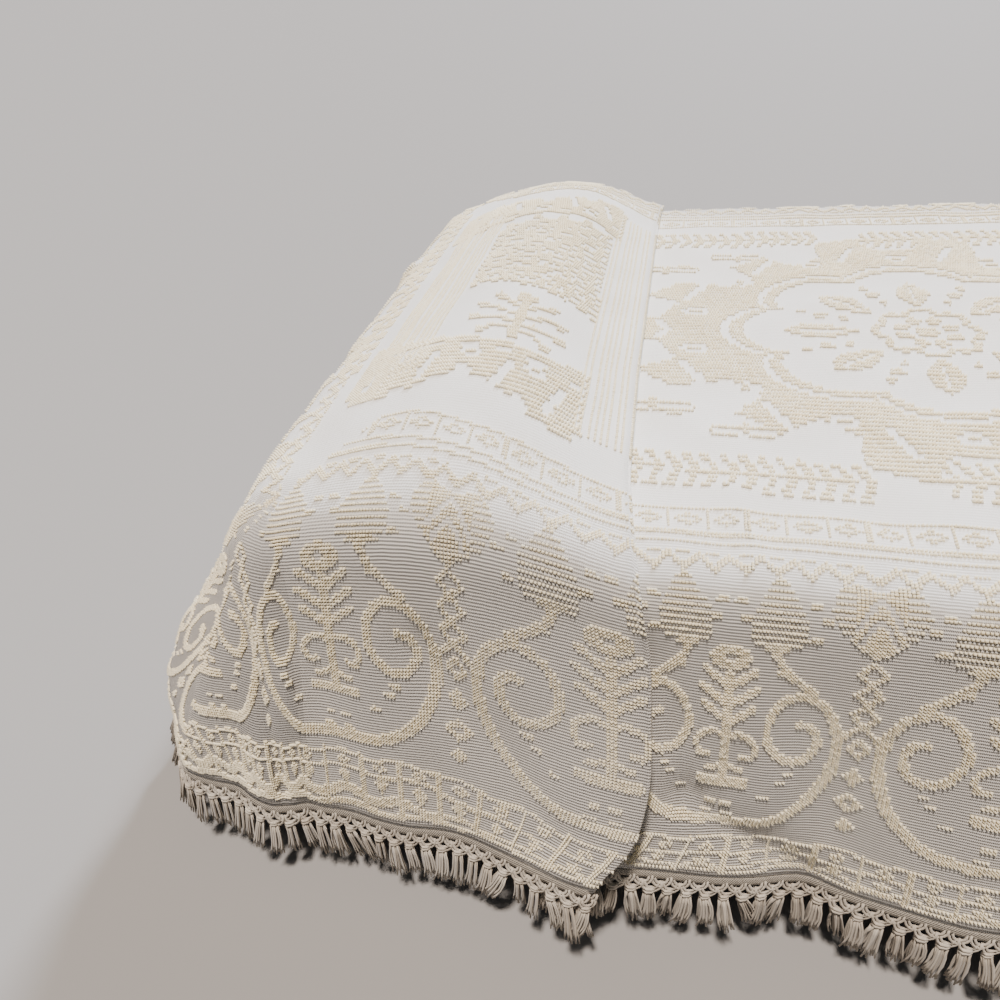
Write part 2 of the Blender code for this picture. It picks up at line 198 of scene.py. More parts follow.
# Length, width and height of each kind of loop, as shares of a plain one.
SIDE_LOOP = (1.02, 1.05, 1.0)
OPEN_LOOP = (1.15, 2.0, 1.4)
STRIPE_LOOP = (1.0, 1.35, 0.95)
# Cloth left bare of loops at the head hem and at the foot hem.
HEAD_MARGIN = 0.012
FOOT_MARGIN = 0.004
# Over the pillows the pattern sits higher up the side: how much, and where that begins.
PATTERN_LIFT = 0.050
PATTERN_LIFT_FROM = -0.42
PATTERN_LIFT_RUN = 0.34
# Distance from the near hem at which the field over the pillows starts.
PILLOW_FIELD_FROM = 0.64
# The head hem's border stops at this distance from it.
HEAD_BORDER_TOP = 0.53
# The weave's relief and tints: rib wander, stitch slant and share, groove depth, painted shade on
# the hanging sides, in the grooves and at the loops' feet, and the darkening of some fringe strands.
RIB_DRIFT = 0.3
STITCH_SLANT = 0.6
STITCH_SHARE = 0.58
RIB_RELIEF = 0.0010
# Share of the relief that is left where the top is stretched.
TOP_RELIEF = 0.12
# Painted shade on the hanging sides: share of their duller tint, as they take less light than the
# top.
SIDE_SHADE_SHARE = 0.6
# Painted shade in the grooves between ribs: its strongest share.
GROOVE_SHADE_SHARE = 0.85
# Painted shade at the foot of each loop, in the gaps between loops: its strongest share.
LOOP_FOOT_SHADE = 0.9
# Strongest share by which some fringe strands, picked at random, are darker.
STRAND_DARKENING = 0.55
LOOP_GRAIN = 700.0
STRAND_GRAIN = 900.0

# --- The fringe -----------------------------------------------------------------------------------

TASSEL_PITCH = 0.027
TASSEL_LENGTH = 0.058
TASSEL_KINDS = 4
TASSEL_STRANDS = 21
# How far a tassel starts above the middle of its knot, how it sways and how it leans outward.
TASSEL_TUCK = 0.004
TASSEL_SWAY = 0.13
TASSEL_LEAN = (0.05, 0.10)
STRAND_RADIUS = 0.00150
# Share of that radius from the knot to the strand's end.
STRAND_TAPER = (1.0, 1.15, 1.1, 1.05, 0.85)
# Strands start on rings round the tassel's middle: the inmost, and how far the others reach past it.
STRAND_RING = 0.0034
STRAND_RING_REACH = 0.0030
STRAND_SPLAY = 0.0026
STRAND_BOW = 0.0028
KNOT_DEPTH = 0.034
KNOT_HALF_WIDTH = 0.0068
KNOT_HALF_THICKNESS = 0.0034
KNOT_CORD = 0.0026
KNOT_WRAPS = (0.0022, -0.0022)
SCALLOP_WIDTH = 0.0275
NET_CORD = 0.0023
# Each row of net: depth below the hem, shift in tassel pitches, how deep it hangs, unevenness.
NetRow = namedtuple("NetRow", "name depth shift fall unevenness")
NET_ROWS = (
    NetRow("upper_net", 0.008, 0.5, 0.0165, 0.10),
    NetRow("lower_net", 0.019, 0.0, 0.0160, 0.14),
)
TAPE_CORD = 0.0036
# The heading's lines below the hem, and half its thickness at each.
TAPE_LEVELS = (-0.0035, 0.001, 0.0055, 0.010)
TAPE_HALF_THICKNESS = (0.0012, 0.0019, 0.0019, 0.0012)
TAPE_PLACES = 900
# Places read on one long and one short hem, and how far below a line its fall is read.
HEM_ALONG = 1400
HEM_ACROSS = 1100
HEM_PROBE = 0.02

# --- The camera: where it stands from the middle of the bed, and how it is turned, in degrees -----

CAMERA_STAND = (-0.3168, -1.3824, 1.2843)
CAMERA_HEADING = 17.46
CAMERA_PITCH = 39.31
CAMERA_ROLL = -7.17
CAMERA_LENS = 26.64
CAMERA_SENSOR = 36.0

# --- The lights, the floor and the plain covers ---------------------------------------------------

# Sun lamps: where the light comes from, its spread in degrees, its strength and its colour.
Light = namedtuple("Light", "name origin spread strength colour")
LIGHTS = (
    Light("window", (0.45, 1.9, 1.15), 11, 7.2, "#E6EFFF"),
    Light("ceiling", (-0.10, -0.25, 3.0), 8, 6.2, "#FFF2E8"),
    Light("fill", (-2.6, -2.6, 1.6), 60, 0.06, "#FFE9DC"),
)
ROOM_STRENGTH = 0.14
ROOM_COLOUR = "#E8ECF2"
FLOOR_HALF = 60.0
# Plain covers: finish, the nodes it is for, its colour's name, thread pitch and roughness.
Cover = namedtuple("Cover", "name nodes colour pitch roughness")
COVERS = (
    Cover("white cotton mattress ticking", ("mattress",), "ticking", 0.0020, 0.85),
    Cover("grey woven base cloth", ("bed_base",), "base_cloth", 0.0030, 0.90),
    Cover("white percale pillowcase", ("pillow_near", "pillow_far"), "pillowcase", 0.0016, 0.80),
)


def linear_colour(hex_code):
    """An sRGB hex value as linear red, green, blue and full opacity."""
    channels = [int(hex_code[start:start + 2], 16) / 255 for start in (1, 3, 5)]
    linear = [value / 12.92 if value <= 0.04045 else ((value + 0.055) / 1.055) ** 2.4
              for value in channels]
    return (*linear, 1.0)


# --- Drape rules ----------------------------------------------------------------------------------


def table_value(place, rows):
    """Read a two-column table at many places."""
    starts, values = zip(*rows)
    return np.interp(place, starts, values)


def smooth_value(place, rows, window):
    """The table's value averaged over a short window, so its corners are rounded."""
    offsets = (np.arange(5) / 4 - 0.5) * window
    return sum(table_value(place + offset, rows) for offset in offsets) / len(offsets)


def smooth_step(share):
    """0 below 0, 1 above 1, and a soft slope between."""
    share = np.clip(share, 0.0, 1.0)
    return share * share * (3 - 2 * share)


def skirt_profile(reach, flare):
    """Outward run and drop of the cloth at a cloth distance from the inner rectangle."""
    hang = np.radians(90 - flare)
    steps = BEND_STEPS
    bend = np.clip(reach, BEND_START, BEND_END) - BEND_START
    out = np.minimum(reach, BEND_START)
    drop = np.zeros_like(out)
    for step in range(steps):
        middle = (step + 0.5) / steps * bend
        slope = hang * smooth_step(middle / (BEND_END - BEND_START))
        out = out + np.cos(slope) * bend / steps
        drop = drop + np.sin(slope) * bend / steps
    straight = np.maximum(reach - BEND_END, 0.0)
    return out + np.cos(hang) * straight, drop + np.sin(hang) * straight


def flute_swing(place, rows):
    """Sum of the soft flutes at places along a side."""
    return sum(swing * np.exp(-((place - middle) / width) ** 2) for middle, swing, width in rows)


def drape_point(along, across, mound, kick, wander):
    """Points of the cloth's middle surface, for flat places on the bed."""
    over_x = np.maximum(np.abs(along) - INNER_X, 0.0)
    over_y = np.maximum(np.abs(across) - INNER_Y, 0.0)
    reach = np.maximum(over_x, over_y)
    side_x = np.where(along < 0, -1.0, 1.0)
    side_y = np.where(across < 0, -1.0, 1.0)
    by_end = math.pi / 4 * over_y / np.maximum(over_x, 1e-9)
    by_side = math.pi / 2 - math.pi / 4 * over_x / np.maximum(over_y, 1e-9)
    angle = np.where(over_x >= over_y, np.where(over_x > 0, by_end, 0.0), by_side)
    aim_x = side_x * np.cos(angle)
    aim_y = side_y * np.sin(angle)
    facing = np.degrees(np.arctan2(aim_y, aim_x)) % 360
    out, drop = skirt_profile(reach, smooth_value(facing, SKIRT_FLARE, FACING_WINDOW))
    fall = smooth_step((reach - BEND_START) / (SIDE_REACH - BEND_START))
    corner = (over_x > 0) & (over_y > 0)
    ripple = CORNER_FLUTE_SWING * fall * (1 - np.cos(4 * CORNER_FLUTES * angle))
    out = out + np.where(corner, ripple, 0.0)
    base_x = np.clip(along, -INNER_X, INNER_X)
    base_y = np.clip(across, -INNER_Y, INNER_Y)
    along_side = smooth_step((INNER_X - np.abs(along)) / FLUTE_EASE)
    across_side = smooth_step((INNER_Y - np.abs(across)) / FLUTE_EASE)
    side_swing = np.where(across < 0, flute_swing(base_x, NEAR_FLUTES),
                          flute_swing(base_x, FAR_FLUTES))
    out = out + fall * along_side * side_swing
    out = out + fall * across_side * flute_swing(base_y, END_FLUTES)
    below_bend = smooth_step((over_y - BEND_END) / (SIDE_REACH - BEND_END))
    out = out + kick * below_bend ** KICK_POWER
    turn = (facing - BULGE_FACING) / BULGE_SPREAD
    bulge = smooth_value(reach, HEAD_CORNER_BULGE, BULGE_WINDOW)
    out = out + bulge * np.exp(-turn * turn)
    rise = MOUND_HEIGHT * mound * smooth_value(along, MOUND_ALONG, MOUND_ALONG_WINDOW)
    rise = rise * smooth_value(np.abs(across), MOUND_ACROSS, MOUND_ACROSS_WINDOW)
    shift = wander * smooth_value(across, FOLD_WANDER, WANDER_WINDOW)
    return np.stack((
        BED_MIDDLE.x + base_x + out * aim_x + shift,
        BED_MIDDLE.y + base_y + out * aim_y,
        MATTRESS_TOP + CLOTH_LIFT - drop + rise,
    ), axis=-1)


def crease_height(along, across):
    """Height of the listed creases and of a faint unevenness, at flat places."""
    height = UNEVEN_HEIGHT * np.sin(along * 41 + 2.1 * np.sin(across * 17))
    height = height + UNEVEN_HEIGHT * np.sin(across * 36 + 1.7 * np.sin(along * 23 + 0.6))
    for row in CREASES:
        start = np.array((row.along, row.across))
        run = np.array((row.end_along, row.end_across)) - start
        share = ((along - start[0]) * run[0] + (across - start[1]) * run[1]) / (run @ run)
        share = np.clip(share, 0.0, 1.0)
        gap = np.hypot(along - start[0] - share * run[0], across - start[1] - share * run[1])
        height = height + row.depth * np.exp(-(gap / row.width) ** 2)
    hem = smooth_step((END_X + 0.03 - np.abs(along)) / END_EASE)
    return height * hem


RIB_PLACES = np.linspace(0, END_Y, 600)
RIB_COUNTS = np.concatenate(([0.0], np.cumsum(
    np.diff(RIB_PLACES) / table_value((RIB_PLACES[1:] + RIB_PLACES[:-1]) / 2, RIB_PITCHES))))


def rib_number(across):
    """Count of ribs from the bed's middle line to places across it."""
    return np.sign(across) * np.interp(np.abs(across), RIB_PLACES, RIB_COUNTS)


def rib_place(number):
    """Places across the bed of numbered ribs."""
    return np.sign(number) * np.interp(np.abs(number), RIB_COUNTS, RIB_PLACES)


Run = namedtuple("Run", "along lift tilt mound kick wander")


def plain_run(along, on_pillows):
    """A run away from the fold, or in the single layer beside it."""
    if on_pillows:
        near_fold = float(smooth_step(1 - (FOLD_X - along) / HEAD_EASE))
        return Run(along, 2 * LAYER_PITCH * near_fold, 0, 1, FOLD_KICK * near_fold, near_fold)
    near_fold = float(smooth_step(1 - (along - FOLD_X + TUCK_DEPTH) / FOOT_EASE))
    return Run(along, 0, 0, 0, BESIDE_KICK * FOLD_KICK * near_fold, near_fold)


def cloth_runs():
    """All runs of the cloth, from the head hem over the fold to the foot hem."""
    turn = LAYER_PITCH / 2
    inner = FOLD_X - TUCK_DEPTH
    step = GROUND_STEP_ALONG
    runs = [plain_run(along, True) for along in np.arange(-END_X, inner, step)]
    runs += [plain_run(along, True) for along in np.linspace(inner, FOLD_X - 0.008, 7)]
    for tilt in (0, *TURN_TILTS, 180):
        angle = math.radians(tilt)
        runs.append(Run(FOLD_X - turn + turn * math.sin(angle), 1.5 * LAYER_PITCH
                        + turn * math.cos(angle), tilt, 0, FOLD_KICK, 1))
    for share in (0.2, 0.4, 0.6, 0.8):
        runs.append(Run(FOLD_X - share * TUCK_DEPTH, LAYER_PITCH, 180, 0,
                        FOLD_KICK * (1 - 0.5 * share), 1))
    for tilt in (180, *reversed(TURN_TILTS), 0):
        angle = math.radians(tilt)
        runs.append(Run(inner + turn - turn * math.sin(angle), 0.5 * LAYER_PITCH
                        - turn * math.cos(angle), tilt, 0, INSIDE_KICK * FOLD_KICK, 1))
    runs += [plain_run(along, False) for along in np.arange(inner + 0.012, END_X, step)]
    runs.append(plain_run(END_X, False))
    return runs


RUNS = np.array(cloth_runs(), dtype=float)
# Cloth distance of each run from the head hem, measured through the fold.
STATIONS = np.concatenate(([0.0], np.cumsum(np.hypot(np.diff(RUNS[:, 0]), np.diff(RUNS[:, 1])))))
CLOTH_LENGTH = STATIONS[-1]
CLOTH_WIDTH = 2 * END_Y
FIRST_TURN = STATIONS[np.flatnonzero(RUNS[:, 2] >= 90)[0]]
LAST_TURN = STATIONS[np.flatnonzero(RUNS[:, 2] >= 90)[-1]]


def run_at(station):
    """Fields of the run at cloth distances from the head hem."""
    return [np.interp(station, STATIONS, RUNS[:, column]) for column in range(RUNS.shape[1])]


def unit(vectors):
    """The same directions, each one long."""
    return vectors / np.linalg.norm(vectors, axis=-1, keepdims=True)


def raised_drape(along, across, mound, kick, wander, height):
    """Points of the drape, raised square to it by a height."""
    step = DRAPE_STEP
    point = drape_point(along, across, mound, kick, wander)
    forward = drape_point(along + step, across, mound, kick, wander) - drape_point(
        along - step, across, mound, kick, wander)
    aside = drape_point(along, across + step, mound, kick, wander) - drape_point(
        along, across - step, mound, kick, wander)
    return point + unit(np.cross(forward, aside)) * height[..., None]


def middle_surface(station, across):
    """Points of the draped cloth's middle surface, folds and creases included."""
    along, lift, _, mound, kick, wander = run_at(station)
    height = lift + crease_height(along, across)
    return raised_drape(along, across, mound, kick, wander, height)


def cloth_frame(station, across):
    """Point, run direction, across direction and face direction of the draped cloth."""
    ahead = middle_surface(station + SLOPE_STEP, across)
    behind = middle_surface(station - SLOPE_STEP, across)
    left = middle_surface(station, across + SLOPE_STEP)
    right = middle_surface(station, across - SLOPE_STEP)
    forward = unit(ahead - behind)
    outward = unit(np.cross(forward, left - right))
    return middle_surface(station, across), forward, np.cross(outward, forward), outward


# --- The chart of loops: outlines drawn in millimetres --------------------------------------------

REPEAT = 360.0
# Along the bed: where a repeat is centred on each part of the cloth, and its stretch there.
BED_PHASE = -0.245
PILLOW_PHASE = -0.80
PILLOW_STRETCH = 1.055

# One half of the scroll that holds each small tree: it rises, turns over and curls inward.
SCROLL = (
    (0, 107), (42, 107), (74, 113), (104, 131), (130, 160), (147, 196), (154, 234), (152, 270),
    (140, 299), (118, 318), (94, 321), (72, 307), (60, 281), (62, 251), (80, 227), (103, 219),
    (122, 232), (128, 255), (119, 274), (104, 277),
)
LEAF_STEM = ((62, 388), (70, 368), (90, 348), (116, 330))
TREE_SPRAYS = (
    ((36, 354), (18, 342), (0, 329)),
    ((40, 328), (20, 316), (0, 303)),
    ((37, 302), (19, 291), (0, 279)),
)
TREE_HOOK = ((4, 258), (20, 262), (38, 254), (45, 238), (38, 222), (25, 225))
TREE_ROOT = ((0, 214), (14, 204), (28, 200))
LEAF_HALF = ((-14, 388), (-34, 399), (-36, 428), (-32, 446), (-20, 462), (-10, 480), (0, 490))
ROSE_HALF = ((0, 388), (18, 402), (44, 424), (57, 450), (50, 476), (30, 490), (10, 482), (0, 476))
ROSE_VEINS = (((0, 468), (14, 452), (26, 430)), ((0, 442), (12, 428), (20, 412)))


# Short dashes strewn between the leaves: along the repeat, distance from the hem.
DASHES = (
    (104, 452), (120, 436), (108, 408), (20, 430), (12, 452), (16, 120), (74, 356), (86, 186),
    (64, 160), (96, 200), (12, 140),
)
LEAF_AXIS = 62
# Wavy lines above the hem: level, swing and period. Dividers and small clusters stand on them.
HEM_LINES = ((17, 1.5, 120), (25, 2, 90), (47, 3, 120), (74, 3, 90))
HEM_DIVIDERS = (30, 90, 150)
HEM_CLUSTERS = (0, 60, 120, 180)
# The edging: the zigzag's foot, height, period and half width, two lines, lozenges and top line.
ZIGZAG_FOOT = 492
ZIGZAG_HEIGHT = 24
ZIGZAG_PERIOD = 40
ZIGZAG_HALF = 7.5
DOUBLE_LINES = (541, 558)
LOZENGE_LEVELS = (579, 588, 598)
LOZENGE_HALF = 15
LOZENGE_PITCH = REPEAT / 7
BAND_TOP = 610
# Lines of loops in one bundle of stripes, and half of a line's width.
STRIPE_OFFSETS = (-48, -39, -25, -16, -4, 5, 19, 28, 42, 51)
STRIPE_HALF = 2.5
STRIPES_FROM = (724, 700)


def smooth_line(points, steps=5):
    """A smooth line through given points."""
    points = np.array(points, dtype=float)
    ends = np.vstack((2 * points[0] - points[1], points, 2 * points[-1] - points[-2]))
    shares = np.linspace(0, 1, steps, endpoint=False)[:, None]
    line = []
    for before, start, end, after in zip(ends, ends[1:], ends[2:], ends[3:]):
        line.append(0.5 * (2 * start + (end - before) * shares
                           + (2 * before - 5 * start + 4 * end - after) * shares ** 2
                           + (3 * start - before - 3 * end + after) * shares ** 3))
    return np.vstack((*line, points[-1:]))


class Chart:
    """The cells of the weave that carry a loop, drawn with strokes and filled shapes."""

    def __init__(self, x, y, row_pitch, even):
        self.x, self.y, self.row_pitch, self.even = x, y, row_pitch, even
        self.ink = np.zeros(x.shape, bool)

    def mark(self, cells, erase=False):
        """Set a loop on some cells, or take it away."""
        self.ink[cells] = not erase

    def within(self, low_x, high_x, low_y, high_y):
        """Cells inside a box."""
        return np.flatnonzero((self.x >= low_x) & (self.x <= high_x)
                              & (self.y >= low_y) & (self.y <= high_y))

    def stroke(self, points, width, erase=False):
        """A line of one width through points."""
        line = smooth_line(points) if len(points) > 2 else np.array(points, dtype=float)
        half = width / 2
        low, high = line.min(axis=0) - half, line.max(axis=0) + half
        cells = self.within(low[0], high[0], low[1], high[1])
        if not len(cells):
            return
        x, y = self.x[cells], self.y[cells]
        nearest = np.full(len(cells), 1e9)
        for start, end in zip(line, line[1:]):
            run = end - start
            share = ((x - start[0]) * run[0] + (y - start[1]) * run[1]) / max(run @ run, 1e-9)
            share = np.clip(share, 0, 1)
            gap = np.hypot(x - start[0] - share * run[0], y - start[1] - share * run[1])
            nearest = np.minimum(nearest, gap)
        self.mark(cells[nearest <= half], erase)

    def fill(self, outline, erase=False):
        """A filled outline."""
        outline = np.array(outline, dtype=float)
        low, high = outline.min(axis=0), outline.max(axis=0)
        cells = self.within(low[0], high[0], low[1], high[1])
        x, y = self.x[cells], self.y[cells]
        inside = np.zeros(len(cells), bool)
        for (ax, ay), (bx, by) in zip(outline, np.roll(outline, -1, axis=0)):
            if ay == by:
                continue
            inside ^= ((ay > y) != (by > y)) & (x < (bx - ax) * (y - ay) / (by - ay) + ax)
        self.mark(cells[inside], erase)

    def oval(self, x, y, half_x, half_y, erase=False):
        """A filled oval."""
        cells = self.within(x - half_x, x + half_x, y - half_y, y + half_y)
        inside = ((self.x[cells] - x) / half_x) ** 2 + ((self.y[cells] - y) / half_y) ** 2 <= 1
        self.mark(cells[inside], erase)

    def diamond(self, x, y, half_x, half_y, erase=False):
        """A filled diamond."""
        cells = self.within(x - half_x, x + half_x, y - half_y, y + half_y)
        inside = np.abs(self.x[cells] - x) / half_x + np.abs(self.y[cells] - y) / half_y <= 1
        self.mark(cells[inside], erase)

    def level_line(self, level, low_x=-1e9, high_x=1e9, erase=False):
        """One rib of loops at a level, which may be an array that follows x."""
        hit = np.abs(self.y - level) <= LINE_SHARE * self.row_pitch
        self.mark(hit & (self.x >= low_x) & (self.x <= high_x), erase)


def triangle_wave(x, period):
    """A wave from 0 to 1 with straight flanks."""
    return np.abs((x / period) % 1 - 0.5) * 2


def draw_hem_zone(chart):
    """Wavy lines, short dividers and small clusters between the hem and the scrolls."""
    for level, swing, period in HEM_LINES:
        chart.level_line(level + swing * np.cos(2 * np.pi * chart.x / period))
    for place in HEM_DIVIDERS:
        chart.stroke(((place, 22), (place, 76)), 8)
    for place in HEM_CLUSTERS:
        chart.diamond(place, 60, 13, 9)
        chart.diamond(place, 36, 11, 8)
        chart.oval(place, 60, 3, 3, erase=True)


def draw_scroll(chart):
    """Half of the scroll, its leaf on a stem, and the small tree inside it."""
    chart.stroke(SCROLL[:8], 17)
    chart.stroke(SCROLL[7:], 13)
    chart.stroke(LEAF_STEM, 11)
    chart.stroke(((0, 348), (0, 184)), 13)
    for spray in TREE_SPRAYS:
        chart.stroke(spray, 11)
    chart.oval(0, 373, 30, 19)
    chart.oval(0, 374, 10, 5, erase=True)
    chart.stroke(TREE_HOOK, 9)
    chart.stroke(TREE_ROOT, 8)
    chart.stroke(((0, 180), (34, 180)), 16)


def draw_leaf(chart, axis):
    """A comb-edged leaf that stands on its stem."""
    half = np.interp(chart.y, [y for _, y in LEAF_HALF], [-x for x, _ in LEAF_HALF], 0, 0)
    comb = np.where(chart.even, 0, 0.38 * half)
    body = (np.abs(chart.x - axis) <= half - comb) & (chart.y > 386) & (chart.y < 492)
    chart.mark(body)
    chart.stroke(((axis, 382), (axis, 394)), 13)


def draw_rose(chart):
    """The broad bud between two scrolls, its stem of open diamonds and the knot under it."""
    axis = REPEAT / 2
    mirrored = [(axis - x, y) for x, y in ROSE_HALF]
    chart.fill(mirrored + [(axis + x, y) for x, y in reversed(ROSE_HALF)])
    tips = (np.abs(chart.x - axis) > 30) & (chart.y > 400) & (chart.y < 480) & ~chart.even
    chart.mark(tips, erase=True)
    for vein in ROSE_VEINS:
        chart.stroke([(axis - x, y) for x, y in vein], 7, erase=True)
    for middle in (368, 336, 304):
        chart.stroke(((axis, middle + 16), (axis - 15, middle)), 7)
        chart.stroke(((axis - 15, middle), (axis, middle - 16)), 7)
    chart.stroke(((axis, 290), (axis - 24, 262)), 8)
    chart.diamond(axis, 252, 16, 20)
    chart.oval(axis, 252, 5, 5, erase=True)
    chart.diamond(axis, 204, 13, 17)
    chart.diamond(axis, 160, 20, 18)
    chart.oval(axis, 160, 6, 5, erase=True)
    chart.diamond(axis, 120, 12, 12)


def draw_edging(chart):
    """The zigzag, the double line and the band of lozenges above the scrolls."""
    crest = ZIGZAG_HEIGHT * triangle_wave(chart.x, ZIGZAG_PERIOD)
    chart.mark(np.abs(chart.y - ZIGZAG_FOOT - crest) < ZIGZAG_HALF)
    for place in np.arange(ZIGZAG_PERIOD / 2, REPEAT / 2, ZIGZAG_PERIOD):
        chart.stroke(((place - 6, 520), (place + 6, 520)), 8)
    for level in DOUBLE_LINES:
        chart.level_line(level)
    foot, middle, top = LOZENGE_LEVELS
    for place in np.arange(0, REPEAT / 2 + 1, LOZENGE_PITCH):
        for tip in (foot, top):
            chart.stroke(((place - LOZENGE_HALF, middle), (place, tip)), 7)
            chart.stroke(((place, tip), (place + LOZENGE_HALF, middle)), 7)
    for place in np.arange(LOZENGE_PITCH / 2, REPEAT / 2 + 1, LOZENGE_PITCH):
        chart.stroke(((place, 572), (place, 604)), 6)
    chart.level_line(BAND_TOP)


def draw_dashes_between(chart):
    """Pairs of short dashes strewn between the leaves."""
    for place, level in DASHES:
        chart.stroke(((place - 5, level), (place + 5, level)), 7)


def draw_border(chart):
    """Everything from the hem to the band of lozenges."""
    draw_hem_zone(chart)
    draw_scroll(chart)
    draw_leaf(chart, LEAF_AXIS)
    draw_rose(chart)
    draw_dashes_between(chart)
    draw_edging(chart)


def draw_laurel(chart, low_x, high_x):
    """A leafy branch that runs along the inside of the border."""
    chart.stroke(((low_x, 712), ((low_x + high_x) / 2, 700), (high_x, 692)), 9)
    for place in np.arange(low_x + 20, high_x - 34, 26):
        centre = np.interp(place, (low_x, high_x), (712, 692))
        chart.stroke(((place + 14, centre), (place - 6, centre + 40)), 12)
        chart.stroke(((place + 14, centre), (place - 2, centre - 38)), 11)
        chart.stroke(((place - 6, centre - 42), (place + 6, centre - 42)), 8)


def draw_leaf_pair(chart, x, y, size):
    """Two rounded leaves with open veins, side by side."""
    for side in (-1, 1):
        chart.oval(x + side * size, y, size, 0.62 * size)
        chart.stroke(((x + side * 0.3 * size, y), (x + side * 1.7 * size, y + 0.1 * size)), 6,
                     erase=True)
    chart.diamond(x, y + 0.4 * size, 0.5 * size, 0.6 * size)


def draw_medallion(chart, centre, half_x, half_y):
    """The great lobed medallion: open middle, filled crown round it with slots and ovals."""
    middle_y = END_Y * MM
    x = (chart.x - centre) / half_x
    y = (chart.y - middle_y) / half_y
    radius = np.hypot(x, y)
    angle = np.arctan2(y, x)
    inner = 1 - 0.17 * (1 - np.abs(np.cos(4 * angle)) ** 0.7)
    teeth = np.clip(3 * np.cos(14 * angle), -1, 1)
    outer = 1.52 + 0.13 * teeth + 0.10 * np.cos(4 * angle)
    chart.mark((radius > inner + 0.02) & (radius < outer))
    # The open line that parts the crown's rim from its body.
    chart.mark(np.abs(radius - inner - 0.115) < 0.022, erase=True)
    for step in range(14):
        aim = 2 * np.pi * (step + 0.5) / 14
        eye_x = centre + 1.30 * half_x * math.cos(aim)
        eye_y = middle_y + 1.30 * half_y * math.sin(aim)
        chart.oval(eye_x, eye_y, 24, 17, erase=True)
        chart.oval(eye_x, eye_y, 11, 7)
        aim = 2 * np.pi * step / 14
        slot_x = centre + 1.42 * half_x * math.cos(aim)
        slot_y = middle_y + 1.42 * half_y * math.sin(aim)
        lean = 15 if slot_y < middle_y else -15
        chart.stroke(((slot_x - lean, slot_y + 32), (slot_x + lean, slot_y - 32)), 15, erase=True)
    for step in range(8):
        aim = 2 * np.pi * step / 8
        run = np.array((half_x * math.cos(aim), half_y * math.sin(aim)))
        side = np.array((-run[1], run[0])) / np.hypot(*run)
        base, tip = 0.38 * run, 0.80 * run
        widths = (0, 20, 30, 26, 0)
        spine = [base + (tip - base) * share for share in (0, 0.25, 0.5, 0.75, 1)]
        outline = [place + side * width for place, width in zip(spine, widths)]
        outline += [place - side * width for place, width in zip(spine[::-1], widths[::-1])]
        chart.fill(np.array(outline) + (centre, middle_y))
        chart.stroke(((centre + spine[1][0], middle_y + spine[1][1]),
                      (centre + spine[3][0], middle_y + spine[3][1])), 9, erase=True)
        aim += np.pi / 8
        place = np.array((half_x * math.cos(aim), half_y * math.sin(aim)))
        for share, size in ((0.62, 15), (0.48, 10), (0.74, 10)):
            chart.oval(centre + share * place[0], middle_y + share * place[1], size, 0.8 * size)
    ring = np.hypot(chart.x - centre, chart.y - middle_y)
    petals = 74 + 17 * np.abs(np.cos(4 * np.arctan2(chart.y - middle_y, chart.x - centre)))
    chart.mark(np.abs(ring - petals) < 7)
    for step in range(8):
        aim = 2 * np.pi * (step + 0.5) / 8
        chart.oval(centre + 46 * math.cos(aim), middle_y + 46 * math.sin(aim), 15, 13)
    chart.oval(centre, middle_y, 20, 18)


def draw_bed_field(chart):
    """The field of the long part: branch, leaf pairs, medallion and corner sprays."""
    draw_laurel(chart, -470, -25)
    draw_laurel(chart, 35, 560)
    for place, level, size in ((-352, 872, 34), (-215, 808, 26), (620, 850, 30), (470, 800, 26)):
        draw_leaf_pair(chart, place, level, size)
    draw_medallion(chart, 110, 315, 265)


def draw_stripes(chart, place, low_y):
    """A bundle of plain stripes parted by lines of loops, running across the bed."""
    for offset in STRIPE_OFFSETS:
        cells = (np.abs(chart.x - place - offset) < STRIPE_HALF) & (chart.y > low_y)
        cells &= chart.y < 2 * END_Y * MM - low_y
        chart.mark(cells)


def draw_castle(chart, low_x, high_x):
    """The filled crown-like band between the stripes, with slots and an arched foot."""
    span = high_x - low_x
    share = np.clip((chart.x - low_x) / span, 0, 1)
    foot = 668 + 46 * np.clip(np.sin(np.pi * (share - 0.28) / 0.50), 0, 1) ** 0.8
    foot = foot + 22 * (triangle_wave(chart.x - low_x, span / 4) > 0.72)
    roof = 824 + 40 * (1 - np.sin(np.pi * share)) ** 1.5
    body = (chart.x > low_x) & (chart.x < high_x) & (chart.y > foot) & (chart.y < roof)
    chart.mark(body)
    for part in (0.10, 0.34, 0.66, 0.88):
        place = low_x + part * span
        chart.stroke(((place + 8, 772), (place - 10, 706)), 15, erase=True)
    for part in (0.22, 0.50, 0.78):
        place = low_x + part * span
        chart.oval(place, 780, 20, 15, erase=True)
        chart.oval(place, 780, 8, 7)
    chart.stroke(((low_x + 20, 806), (low_x + span / 2, 800), (high_x - 20, 806)), 6, erase=True)


def draw_plant(chart, axis):
    """A spreading plant with curved boughs."""
    chart.stroke(((axis, 846), (axis, 992)), 16)
    for level, reach, rise in ((866, 62, -12), (892, 84, 8), (922, 78, 26), (954, 54, 34)):
        for side in (-1, 1):
            chart.stroke(((axis, level), (axis + side * 0.5 * reach, level + 0.2 * rise + 10),
                          (axis + side * reach, level + rise)), 12)
            chart.oval(axis + side * reach, level + rise, 12, 12)
    chart.oval(axis, 996, 24, 16)


